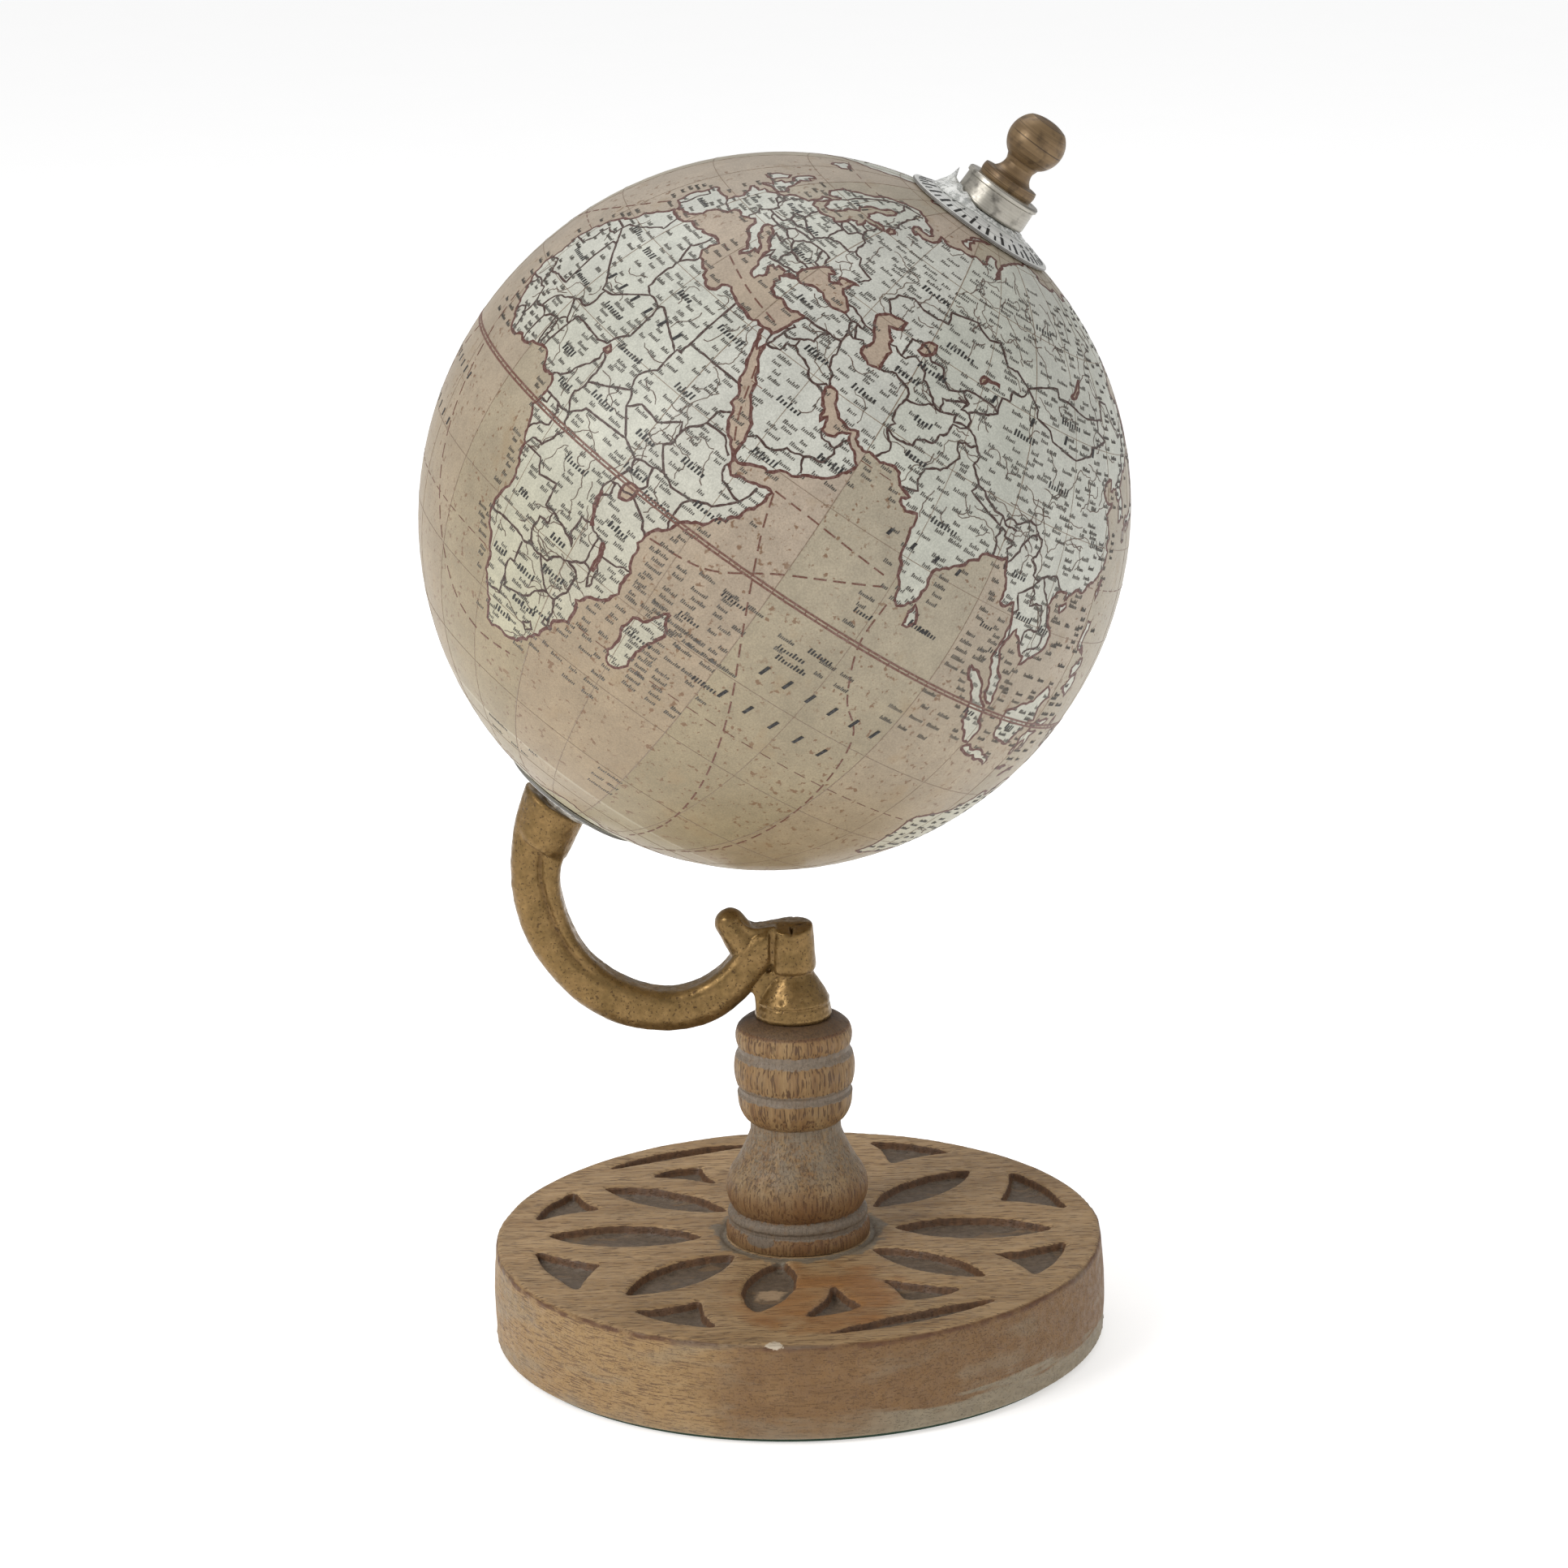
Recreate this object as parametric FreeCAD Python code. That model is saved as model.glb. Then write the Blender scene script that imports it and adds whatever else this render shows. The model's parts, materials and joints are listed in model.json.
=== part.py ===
import FreeCAD, Part
import math
import os

# Desktop globe on a turned wooden stand, in millimetres.
# The origin is on the base's axis, on the surface that the base rests on, and +Z is up.
# The globe's axis leans towards +X, and the arm that holds it stands on the -X side.

V = FreeCAD.Vector
UP = V(0, 0, 1)
os.makedirs("parts", exist_ok=True)

# ---------------------------------------------------------------- driving dimensions
GLOBE_RADIUS = 63.5          # equator, over the printed map
POLE_RADIUS = 64.8           # the ball is slightly long along its axis
GLOBE_CENTRE = V(-1.3, 0, 156.4)
GLOBE_TILT = 36.0            # degrees from the vertical, towards +X
MAP_THICKNESS = 0.2
GLUE_GAP = 0.05              # between the map and the shell, and between the shell and the band
SHELL_THICKNESS = 2.0
SHELL_OUTSIDE = MAP_THICKNESS + GLUE_GAP
SHELL_INSIDE = SHELL_OUTSIDE + SHELL_THICKNESS
GORE_COUNT = 12
FIRST_SEAM = -150.6          # degrees round the axis, from the side that leans down

ROD_RADIUS = 2.0
RUNNING_CLEARANCE = 0.05

BASE_RADIUS = 57.1
BASE_TOP = 19.0
FELT_THICKNESS = 0.8
CARVE_DEPTH = 2.1
CARVE_SLOPE = 0.45           # how far a recess wall leans in over its depth

COLUMN_RIM = 60.0            # the post's top edge, under a low dome
COLUMN_TOP = 61.4
ARM_DEPTH = 7.4              # across the C, along Y

TIE_RADIUS = 3.0             # an M6 rod
NUT_FLATS = 10.0
LEAN = math.radians(GLOBE_TILT)
AXIS_DIRECTION = V(math.sin(LEAN), 0, math.cos(LEAN))


# ---------------------------------------------------------------- helpers
def outline(start, moves, y=0.0):
    """Closed wire in the XZ plane. A move is (x, z), or ((x, z), (x, z)) for an arc via and to."""
    here = V(start[0], y, start[1])
    first = here
    edges = []
    for move in moves:
        is_arc = isinstance(move[0], tuple)
        end = move[1] if is_arc else move
        there = V(end[0], y, end[1])
        if is_arc:
            via = V(move[0][0], y, move[0][1])
            edges.append(Part.Arc(here, via, there).toShape())
        else:
            edges.append(Part.LineSegment(here, there).toShape())
        here = there
    if (here - first).Length > 1e-6:
        edges.append(Part.LineSegment(here, first).toShape())
    return Part.Wire(edges)


def turned(start, moves):
    """Solid of revolution about Z of an outline given as (radius, height)."""
    return Part.Face(outline(start, moves)).revolve(V(0, 0, 0), UP, 360)


def rod(radius, low, high):
    return Part.makeCylinder(radius, high - low, V(0, 0, low))


def mirrored_down(shape):
    """The same piece at the south end of the axis."""
    return shape.mirror(V(0, 0, 0), UP)


def on_axis(shape):
    """Moves a piece made about Z, with the globe's centre at 0, onto the leaning axis."""
    placed = shape.copy()
    lean = FreeCAD.Rotation(V(0, 1, 0), GLOBE_TILT)
    placed.Placement = FreeCAD.Placement(GLOBE_CENTRE, lean).multiply(placed.Placement)
    return placed


def export(node, shape):
    if shape.ShapeType != "Solid" and len(shape.Solids) == 1:
        shape = shape.Solids[0]
    state = "ok" if shape.isValid() and len(shape.Solids) == 1 else "CHECK"
    print(f"{node}: {shape.Volume:.1f} mm3, {len(shape.Solids)} solid, {state}")
    shape.exportStep(f"parts/{node}.step")


# ---------------------------------------------------------------- the ball
def meridian_arc(inset, low, high):
    """Stretch of the ball's meridian between two heights, a given depth under its surface."""
    polar = POLE_RADIUS - inset
    equatorial = GLOBE_RADIUS - inset
    ellipse = Part.Ellipse(V(0, 0, polar), V(equatorial, 0, 0), V(0, 0, 0))
    return Part.ArcOfEllipse(ellipse, math.acos(high / polar), math.acos(low / polar)).toShape()


def height_at(inset, radius):
    """Height of the meridian at a distance from the axis."""
    return (POLE_RADIUS - inset) * math.sqrt(1 - (radius / (GLOBE_RADIUS - inset)) ** 2)


def ball_zone(outer, inner, low, high, pole_hole=0.0, first=0.0, sweep=360.0):
    """Zone of the ball between two insets and two heights, or up to a hole at the pole."""
    reach_out = min(high, height_at(outer, pole_hole)) if pole_hole else high
    reach_in = min(high, height_at(inner, pole_hole)) if pole_hole else high
    drop_out = max(low, -height_at(outer, pole_hole)) if pole_hole else low
    drop_in = max(low, -height_at(inner, pole_hole)) if pole_hole else low
    outside = meridian_arc(outer, drop_out, reach_out)
    inside = meridian_arc(inner, drop_in, reach_in)
    top = Part.LineSegment(outside.valueAt(outside.FirstParameter), inside.valueAt(inside.FirstParameter))
    foot = Part.LineSegment(outside.valueAt(outside.LastParameter), inside.valueAt(inside.LastParameter))
    wire = Part.Wire(Part.__sortEdges__([outside, top.toShape(), inside, foot.toShape()]))
    face = Part.Face(wire)
    face.rotate(V(0, 0, 0), UP, first)
    return face.revolve(V(0, 0, 0), UP, sweep)


BUSH_RADIUS = 4.0
BUSH_LIP_RADIUS = BUSH_RADIUS + 0.5
BUSH_FLANGE_RADIUS = 5.4
BUSH_BOTTOM = 58.0
BUSH_TOP = 65.3
GORE_HOLE = BUSH_FLANGE_RADIUS + 0.1
BAND_THICKNESS = 1.2
BAND_HALF_HEIGHT = 6.0


def north_hemisphere():
    """Half shell with a hole at the pole for the bush."""
    return ball_zone(SHELL_OUTSIDE, SHELL_INSIDE, 0.0, POLE_RADIUS, BUSH_RADIUS)


def equator_band():
    """Card hoop that joins the two half shells from the inside."""
    outside = SHELL_INSIDE + GLUE_GAP
    return ball_zone(outside, outside + BAND_THICKNESS, -BAND_HALF_HEIGHT, BAND_HALF_HEIGHT)


def map_gore(index):
    """One lune of the printed map, from bush to bush."""
    step = 360.0 / GORE_COUNT
    first = FIRST_SEAM + index * step
    return ball_zone(0.0, MAP_THICKNESS, -POLE_RADIUS, POLE_RADIUS, GORE_HOLE, first, step)


def north_bushing():
    """Plastic bush: a barrel through the shell, a flange outside and a snap lip inside."""
    under_flange = POLE_RADIUS - MAP_THICKNESS + 0.02
    inside = height_at(SHELL_INSIDE, BUSH_RADIUS) - 0.05
    bore = ROD_RADIUS + RUNNING_CLEARANCE
    return turned(
        (bore, BUSH_BOTTOM),
        [
            (BUSH_RADIUS - 0.6, BUSH_BOTTOM),
            (BUSH_LIP_RADIUS, inside - 1.2),
            (BUSH_LIP_RADIUS, inside),
            (BUSH_RADIUS, inside),
            (BUSH_RADIUS, under_flange),
            (BUSH_FLANGE_RADIUS, under_flange),
            (BUSH_FLANGE_RADIUS, BUSH_TOP - 0.2),
            (BUSH_FLANGE_RADIUS - 0.2, BUSH_TOP),
            (bore, BUSH_TOP),
        ],
    )


# ---------------------------------------------------------------- on the axis
NORTH_DIAL_RADIUS = 14.2
SOUTH_DIAL_RADIUS = 13.6
DIAL_BORE = ROD_RADIUS + 0.08
DIAL_CLEARANCE = 0.13        # under the rim
DIAL_TOP = 66.0
DIAL_SHEET = 0.58
DIAL_CROWN_RADIUS = 8.0      # where the dome of each dial face is gauged
FILM_RADIUS = 9.6
FILM_LOW = 66.1
FILM_HIGH = 66.3
COLLAR_RADIUS = 7.0
COLLAR_LIP_RADIUS = COLLAR_RADIUS + 0.25
COLLAR_TOP = 71.4
SPACER_RADIUS = 4.5
SPACER_START = DIAL_TOP + 0.15
BALL_HEIGHT = 81.0
BALL_RADIUS = 5.3
HEAD_PLANE = -67.2           # where the arm's head ends, along the axis
ROD_FOOT = -74.5
KNOB_HOLE_END = BALL_HEIGHT - 2.0


def dial_cap(radius):
    """Shallow pressed cap that hugs the ball, with a rolled rim."""
    crown = 65.57
    edge = height_at(0.0, radius - 0.5) + DIAL_CLEARANCE
    rim = edge + 0.6
    return turned(
        (DIAL_BORE, DIAL_TOP - DIAL_SHEET),
        [
            ((DIAL_CROWN_RADIUS, crown - DIAL_SHEET), (radius - 0.5, edge)),
            (radius, edge),
            ((radius + 0.15, (edge + rim) / 2), (radius, rim)),
            (radius - 0.6, rim),
            ((DIAL_CROWN_RADIUS, crown), (DIAL_BORE, DIAL_TOP)),
        ],
    )


def north_hour_dial():
    return dial_cap(NORTH_DIAL_RADIUS)


def south_hour_dial():
    return mirrored_down(dial_cap(SOUTH_DIAL_RADIUS))


def film_washer():
    """Clear disc that keeps the collar from marking the dial."""
    return rod(FILM_RADIUS, FILM_LOW, FILM_HIGH).cut(rod(ROD_RADIUS, FILM_LOW, FILM_HIGH))


def north_collar():
    """Short sleeve with a rounded foot and a thin flange round its top edge."""
    return turned(
        (ROD_RADIUS, FILM_HIGH),
        [
            (COLLAR_RADIUS - 0.5, FILM_HIGH),
            ((COLLAR_RADIUS - 0.15, FILM_HIGH + 0.2), (COLLAR_RADIUS, FILM_HIGH + 0.7)),
            (COLLAR_RADIUS - 0.1, COLLAR_TOP - 1.1),
            (COLLAR_LIP_RADIUS, COLLAR_TOP - 0.9),
            (COLLAR_LIP_RADIUS, COLLAR_TOP - 0.25),
            (COLLAR_LIP_RADIUS - 0.2, COLLAR_TOP - 0.05),
            (COLLAR_RADIUS - 0.9, COLLAR_TOP),
            (ROD_RADIUS, COLLAR_TOP),
        ],
    )


def finial_knob():
    """Ball nut: a flange, a waisted neck and a slightly flattened ball over a blind hole."""
    top = BALL_HEIGHT + BALL_RADIUS - 0.9
    return turned(
        (ROD_RADIUS, COLLAR_TOP),
        [
            (5.2, COLLAR_TOP),
            ((5.45, COLLAR_TOP + 1.0), (5.3, COLLAR_TOP + 2.0)),
            (4.0, COLLAR_TOP + 2.15),
            ((3.0, COLLAR_TOP + 3.3), (2.8, COLLAR_TOP + 4.5)),
            (3.2, BALL_HEIGHT - 4.1),
            ((BALL_RADIUS, BALL_HEIGHT), (3.5, BALL_HEIGHT + 3.75)),
            ((2.4, top - 0.25), (1.2, top)),
            (0.0, top),
            (0.0, KNOB_HOLE_END),
            (ROD_RADIUS, KNOB_HOLE_END),
        ],
    )


def axle_rod():
    """Fixed rod that the ball and both dials turn on."""
    return rod(ROD_RADIUS, ROD_FOOT, KNOB_HOLE_END)


def south_collar():
    """Pale spacer that the globe's weight rests on."""
    spacer = turned(
        (ROD_RADIUS, SPACER_START),
        [
            (SPACER_RADIUS - 0.3, SPACER_START),
            (SPACER_RADIUS, SPACER_START + 0.3),
            (SPACER_RADIUS, -HEAD_PLANE),
            (ROD_RADIUS, -HEAD_PLANE),
        ],
    )
    return mirrored_down(spacer)


# ---------------------------------------------------------------- the brass casting
FOOT_RADIUS = 6.9
BLOCK_BOTTOM = 70.3
BLOCK_TOP = 79.4
BLOCK_RADIUS = 4.35
TIE_TOP = 73.0
OUTER_ROUND = 3.0            # along the outside of the C
INNER_ROUND = 2.0
HORN_RADIUS = 2.75


def axis_point(across, along):
    """Point in the XZ plane, from its distance off the axis and its place along it."""
    x = GLOBE_CENTRE.x + across * math.cos(LEAN) + along * math.sin(LEAN)
    z = GLOBE_CENTRE.z - across * math.sin(LEAN) + along * math.cos(LEAN)
    return (x, z)


def smooth_curve(points, y):
    spline = Part.BSplineCurve()
    spline.interpolate([V(x, y, z) for x, z in points])
    return spline.toShape()


def straight(a, b, y):
    return Part.LineSegment(V(a[0], y, a[1]), V(b[0], y, b[1])).toShape()


def arm_plate():
    """The C from the head down, round and up to the block, fully rounded on its outer side."""
    under_head = HEAD_PLANE - 0.6
    outside = [
        axis_point(-8.2, under_head), (-50.0, 99.5), (-51.0, 91.0), (-49.1, 79.0), (-44.2, 70.4),
        (-36.0, 62.9), (-25.0, 59.6), (-14.5, 61.3), (-7.2, 67.2), (-4.3, 71.0),
    ]
    inside = [
        (-4.3, 78.9), (-7.4, 77.4), (-10.9, 73.5), (-15.2, 69.5), (-22.5, 67.1), (-30.5, 69.1),
        (-37.4, 74.5), (-41.5, 83.3), (-42.0, 91.0), (-40.4, 95.4), axis_point(3.2, under_head),
    ]
    front = -ARM_DEPTH / 2
    outer_edge = smooth_curve(outside, front)
    inner_edge = smooth_curve(inside, front)
    block_end = straight(outside[-1], inside[0], front)
    head_end = straight(inside[-1], outside[0], front)
    side = Part.Face(Part.Wire([outer_edge, block_end, inner_edge, head_end]))
    plate = side.extrude(V(0, ARM_DEPTH, 0))
    same = 0.01
    curved = [edge for edge in plate.Edges if isinstance(edge.Curve, Part.BSplineCurve)]
    outer_pair = [edge for edge in curved if abs(edge.Length - outer_edge.Length) < same]
    inner_pair = [edge for edge in curved if abs(edge.Length - outer_edge.Length) >= same]
    rounded = plate.makeFillet(OUTER_ROUND, outer_pair)
    inner_pair = [
        edge for edge in rounded.Edges
        if any((edge.CenterOfMass - old.CenterOfMass).Length < same for old in inner_pair)
    ]
    return rounded.makeFillet(INNER_ROUND, inner_pair)


def arm_head():
    """Socket for the foot of the axis rod: round at both ends, and skewed to run into the arm."""
    rings = [(-2.2, 0.0, 6.1), (-2.15, 0.4, 6.25), (-0.45, 7.0, 5.6), (-0.2, 8.0, 5.1)]
    sections = []
    for across, below, radius in rings:
        x, z = axis_point(across, HEAD_PLANE - below)
        sections.append(Part.Wire(Part.makeCircle(radius, V(x, 0, z), AXIS_DIRECTION)))
    return Part.makeLoft(sections, True, True)


def horn():
    """Thumb-like stub that curls up beside the block."""
    bottom = V(-6.7, 0, 72.5)
    tip = V(-11.2, 0, 79.6)
    stub = Part.makeCone(HORN_RADIUS + 0.8, HORN_RADIUS, (tip - bottom).Length, bottom, tip - bottom)
    return stub.fuse(Part.makeSphere(HORN_RADIUS, tip))


def horn_web():
    """Metal between the horn and the block, hollow-curved on top."""
    depth = 5.0
    sides = [(-3.0, 79.3), (-5.5, 79.0), ((-7.3, 79.0), (-9.2, 80.6)), (-9.5, 74.0)]
    return Part.Face(outline((-3.0, 72.0), sides, -depth / 2)).extrude(V(0, depth, 0))


def foot_and_block():
    """Turned foot cone under an upright block, whose top slopes down to a notch in front."""
    body = turned(
        (0.0, COLUMN_TOP),
        [
            (FOOT_RADIUS - 0.5, COLUMN_TOP),
            ((FOOT_RADIUS + 0.05, COLUMN_TOP + 0.5), (FOOT_RADIUS, COLUMN_TOP + 1.4)),
            (FOOT_RADIUS - 0.1, COLUMN_TOP + 2.5),
            (FOOT_RADIUS - 0.6, COLUMN_TOP + 2.9),
            (FOOT_RADIUS - 0.1, COLUMN_TOP + 3.4),
            ((5.6, COLUMN_TOP + 5.6), (4.1, BLOCK_BOTTOM - 0.9)),
            (3.75, BLOCK_BOTTOM),
            (BLOCK_RADIUS - 0.2, BLOCK_BOTTOM + 0.3),
            (BLOCK_RADIUS, BLOCK_BOTTOM + 1.0),
            (BLOCK_RADIUS - 0.5, BLOCK_TOP - 0.3),
            (BLOCK_RADIUS - 0.8, BLOCK_TOP),
            (0.0, BLOCK_TOP),
        ],
    )
    reach = 6.0
    ridge = V(-reach, 0, BLOCK_TOP)
    front = V(-reach, -reach, BLOCK_TOP - 1.9)
    above = V(-reach, -reach, BLOCK_TOP + 1.0)
    slope = Part.Face(Part.makePolygon([ridge, front, above, ridge])).extrude(V(2 * reach, 0, 0))
    left = V(-0.7, -reach, BLOCK_TOP + 0.6)
    right = V(0.7, -reach, BLOCK_TOP + 0.6)
    point = V(0, -reach, BLOCK_TOP - 2.3)
    notch = Part.Face(Part.makePolygon([left, right, point, left])).extrude(V(0, reach - 1.0, 0))
    return body.cut([slope, notch])


def foot_web():
    """Upright fillet of metal between the foot and the underside of the arm."""
    depth = 5.2
    side = -FOOT_RADIUS + 0.2
    low = COLUMN_TOP + 0.3
    sides = [(0, low), (0, 72.0), (-8.6, 69.0), (side - 0.2, 66.0)]
    return Part.Face(outline((side, low), sides, -depth / 2)).extrude(V(0, depth, 0))


def arm_casting():
    """One casting: the C, its head, the foot and block, and the horn, bored for both rods."""
    lumps = [arm_head(), foot_and_block(), horn(), horn_web(), foot_web()]
    body = arm_plate().fuse(lumps).removeSplitter()
    body = body.cut(rod(TIE_RADIUS, COLUMN_TOP - 1, TIE_TOP))
    return body.cut(on_axis(rod(ROD_RADIUS, ROD_FOOT, HEAD_PLANE + 1)))


# ---------------------------------------------------------------- the wooden stand
TENON_RADIUS = 9.0
TENON_LENGTH = 8.0
COLUMN_FOOT_RADIUS = 13.3
FOOT_GROOVE_RADIUS = 14.9
FOOT_GROOVE_DEPTH = 0.8
COUNTERBORE_RADIUS = 8.0
COUNTERBORE_TOP = 6.6
WASHER_RADIUS = 7.0
WASHER_THICKNESS = 1.2
NUT_HEIGHT = 4.4
TIE_FOOT = 1.4


def turned_column():
    """Turned post: foot ring, grey ring, bell, neck, two beads and a low dome."""
    foot = BASE_TOP
    shape = turned(
        (0.0, foot - TENON_LENGTH),
        [
            (TENON_RADIUS - 0.5, foot - TENON_LENGTH),
            (TENON_RADIUS, foot - TENON_LENGTH + 0.5),
            (TENON_RADIUS, foot),
            (COLUMN_FOOT_RADIUS, foot),
            ((13.45, foot + 1.2), (13.1, foot + 2.6)),
            (12.75, foot + 3.0),
            (12.75, foot + 3.6),
            (13.05, foot + 4.1),
            ((12.95, foot + 4.9), (12.45, foot + 5.5)),
            (12.05, foot + 5.8),
            ((13.2, foot + 9.2), (11.8, foot + 13.6)),
            ((9.6, foot + 17.6), (8.45, foot + 20.5)),
            (8.35, foot + 22.4),
            (9.35, foot + 23.3),
            ((10.15, foot + 24.7), (10.6, foot + 27.0)),
            (10.7, foot + 28.0),
            (10.35, foot + 28.5),
            (10.35, foot + 29.2),
            (10.75, foot + 29.8),
            ((11.2, foot + 32.3), (10.85, foot + 35.4)),
            (10.35, foot + 36.3),
            (10.4, foot + 37.2),
            ((10.8, foot + 39.2), (10.4, COLUMN_RIM - 0.3)),
            ((9.2, COLUMN_RIM + 0.75), (FOOT_RADIUS + 0.2, COLUMN_TOP)),
            (0.0, COLUMN_TOP),
        ],
    )
    return shape.cut(rod(TIE_RADIUS, foot - TENON_LENGTH - 1, COLUMN_TOP + 1))


# The leaves of the carved flower: the inner tip, the outer tip and the width across.
LEAVES = [
    ((-3.0, -14.2), (-8.0, -40.3), 9.6),
    ((-11.8, -10.4), (-31.7, -30.4), 10.4),
    ((-17.8, -1.2), (-47.1, 1.3), 11.2),
    ((-12.9, 11.8), (-37.3, 27.0), 8.6),
    ((0.8, 16.0), (0.4, 42.0), 9.6),
    ((14.1, 12.4), (33.4, 32.1), 9.4),
    ((17.6, 1.7), (48.0, -0.9), 11.0),
    ((13.3, -8.8), (34.3, -24.9), 8.4),
]

# The three-cornered cuts between the leaves and the rim. The first side faces the rim.
CORNER_CUTS = [
    ((-49.7, 9.0), (-42.4, 24.9), (-36.9, 14.6)),
    ((-39.9, -27.9), (-49.3, -6.0), (-36.4, -14.1)),
    ((-14.6, -47.1), (-30.4, -37.7), (-17.6, -33.0)),
    ((11.1, -37.7), (0.4, -42.4), (6.4, -24.9)),
    ((29.6, -30.0), (18.9, -35.6), (12.9, -23.1)),
    ((49.7, -7.7), (42.4, -24.9), (35.6, -12.9)),
    ((41.1, 31.3), (51.0, 9.0), (38.1, 14.6)),
    ((14.1, 49.7), (30.4, 42.0), (18.0, 36.0)),
    ((-28.3, 32.1), (-18.4, 36.9), (-13.3, 25.7)),
]

# The long slots along the rim: both tips, and how far the outer and inner sides bow outwards.
RIM_SLOTS = [
    ((3.0, -51.4), (37.3, -35.0), 3.0, -1.5),
    ((-37.7, 36.0), (-6.0, 49.6), 4.3, 0.2),
]


def bowed_side(start, end, bow):
    """Arc at the base's top between two points, bowed away from the base's centre."""
    a = V(start[0], start[1], BASE_TOP)
    b = V(end[0], end[1], BASE_TOP)
    middle = (a + b) / 2
    outwards = V(a.y - b.y, b.x - a.x, 0).normalize()
    if outwards.dot(V(middle.x, middle.y, 0)) < 0:
        outwards = -outwards
    if abs(bow) < 0.05:
        return Part.LineSegment(a, b).toShape()
    return Part.Arc(a, middle + outwards * bow, b).toShape()


def leaf_outline(inner, outer, width):
    """Two arcs that meet at both tips."""
    a = V(inner[0], inner[1], BASE_TOP)
    b = V(outer[0], outer[1], BASE_TOP)
    side = V(a.y - b.y, b.x - a.x, 0).normalize() * (width / 2)
    middle = (a + b) / 2
    right = Part.Arc(a, middle + side, b).toShape()
    left = Part.Arc(b, middle - side, a).toShape()
    return Part.Wire([right, left])


def corner_outline(first, second, third):
    """A rim-side arc and two sides that bow inwards, as the leaves' outlines do."""
    a, b, c = (V(p[0], p[1], BASE_TOP) for p in (first, second, third))
    rim_bow = 1.6
    leaf_bow = 1.1
    edges = [bowed_side(first, second, rim_bow)]
    centre = (a + b + c) / 3
    for start, end in ((b, c), (c, a)):
        middle = (start + end) / 2
        inwards = (centre - middle).normalize()
        edges.append(Part.Arc(start, middle + inwards * leaf_bow, end).toShape())
    return Part.Wire(edges)


def slot_outline(first, second, outer_bow, inner_bow):
    return Part.Wire([bowed_side(first, second, outer_bow), bowed_side(second, first, inner_bow)])


def recess(wire):
    """Cutter with walls that lean in, from just above the top face down to the recess's floor."""
    floor = wire.makeOffset2D(-CARVE_SLOPE, 2)
    floor.translate(V(0, 0, -CARVE_DEPTH))
    cutter = Part.makeLoft([wire, floor], True, True)
    lid = Part.Face(wire).extrude(V(0, 0, 1))
    return cutter.fuse(lid)


def base_disc():
    """Round base with rounded edges, carved recesses, the post's socket and the nut's pocket."""
    low = FELT_THICKNESS
    disc = turned(
        (0.0, low),
        [
            (BASE_RADIUS - 1.2, low),
            ((BASE_RADIUS - 0.4, low + 0.4), (BASE_RADIUS - 0.1, low + 1.2)),
            ((BASE_RADIUS, 10.0), (BASE_RADIUS - 0.4, BASE_TOP - 0.9)),
            ((BASE_RADIUS - 0.65, BASE_TOP - 0.25), (BASE_RADIUS - 1.3, BASE_TOP)),
            (FOOT_GROOVE_RADIUS, BASE_TOP),
            (FOOT_GROOVE_RADIUS - 0.5, BASE_TOP - FOOT_GROOVE_DEPTH),
            (COLUMN_FOOT_RADIUS, BASE_TOP - FOOT_GROOVE_DEPTH),
            (COLUMN_FOOT_RADIUS, BASE_TOP),
            (TENON_RADIUS, BASE_TOP),
            (TENON_RADIUS, BASE_TOP - TENON_LENGTH),
            (0.0, BASE_TOP - TENON_LENGTH),
        ],
    )
    wires = [leaf_outline(*leaf) for leaf in LEAVES]
    wires += [corner_outline(*cut) for cut in CORNER_CUTS]
    wires += [slot_outline(*slot) for slot in RIM_SLOTS]
    disc = disc.cut([recess(wire) for wire in wires])
    disc = disc.cut(rod(TIE_RADIUS, 0, BASE_TOP))
    return disc.cut(rod(COUNTERBORE_RADIUS, 0, COUNTERBORE_TOP))


def felt_pad():
    return rod(BASE_RADIUS - 2.1, 0.0, FELT_THICKNESS)


def tie_rod():
    return rod(TIE_RADIUS, TIE_FOOT, TIE_TOP)


def tie_rod_washer():
    low = COUNTERBORE_TOP - WASHER_THICKNESS
    return rod(WASHER_RADIUS, low, COUNTERBORE_TOP).cut(rod(TIE_RADIUS, low, COUNTERBORE_TOP))


def tie_rod_nut():
    high = COUNTERBORE_TOP - WASHER_THICKNESS
    corner = NUT_FLATS / math.sqrt(3)
    turns = [math.radians(60 * i) for i in range(7)]
    low = high - NUT_HEIGHT
    ring = Part.makePolygon([V(corner * math.cos(t), corner * math.sin(t), low) for t in turns])
    return Part.Face(ring).extrude(V(0, 0, NUT_HEIGHT)).cut(rod(TIE_RADIUS, low, high))


# ---------------------------------------------------------------- the whole
def main():
    export("base_disc", base_disc())
    export("felt_pad", felt_pad())
    export("turned_column", turned_column())
    export("tie_rod", tie_rod())
    export("tie_rod_washer", tie_rod_washer())
    export("tie_rod_nut", tie_rod_nut())
    export("arm_casting", arm_casting())
    export("axle_rod", on_axis(axle_rod()))
    export("south_collar", on_axis(south_collar()))
    export("south_hour_dial", on_axis(south_hour_dial()))
    export("north_hour_dial", on_axis(north_hour_dial()))
    export("film_washer", on_axis(film_washer()))
    export("north_collar", on_axis(north_collar()))
    export("finial_knob", on_axis(finial_knob()))
    export("north_hemisphere", on_axis(north_hemisphere()))
    export("south_hemisphere", on_axis(mirrored_down(north_hemisphere())))
    export("north_bushing", on_axis(north_bushing()))
    export("south_bushing", on_axis(mirrored_down(north_bushing())))
    export("equator_band", on_axis(equator_band()))
    for index in range(GORE_COUNT):
        export(f"map_gore_{index + 1:02d}", on_axis(map_gore(index)))


main()
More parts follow.
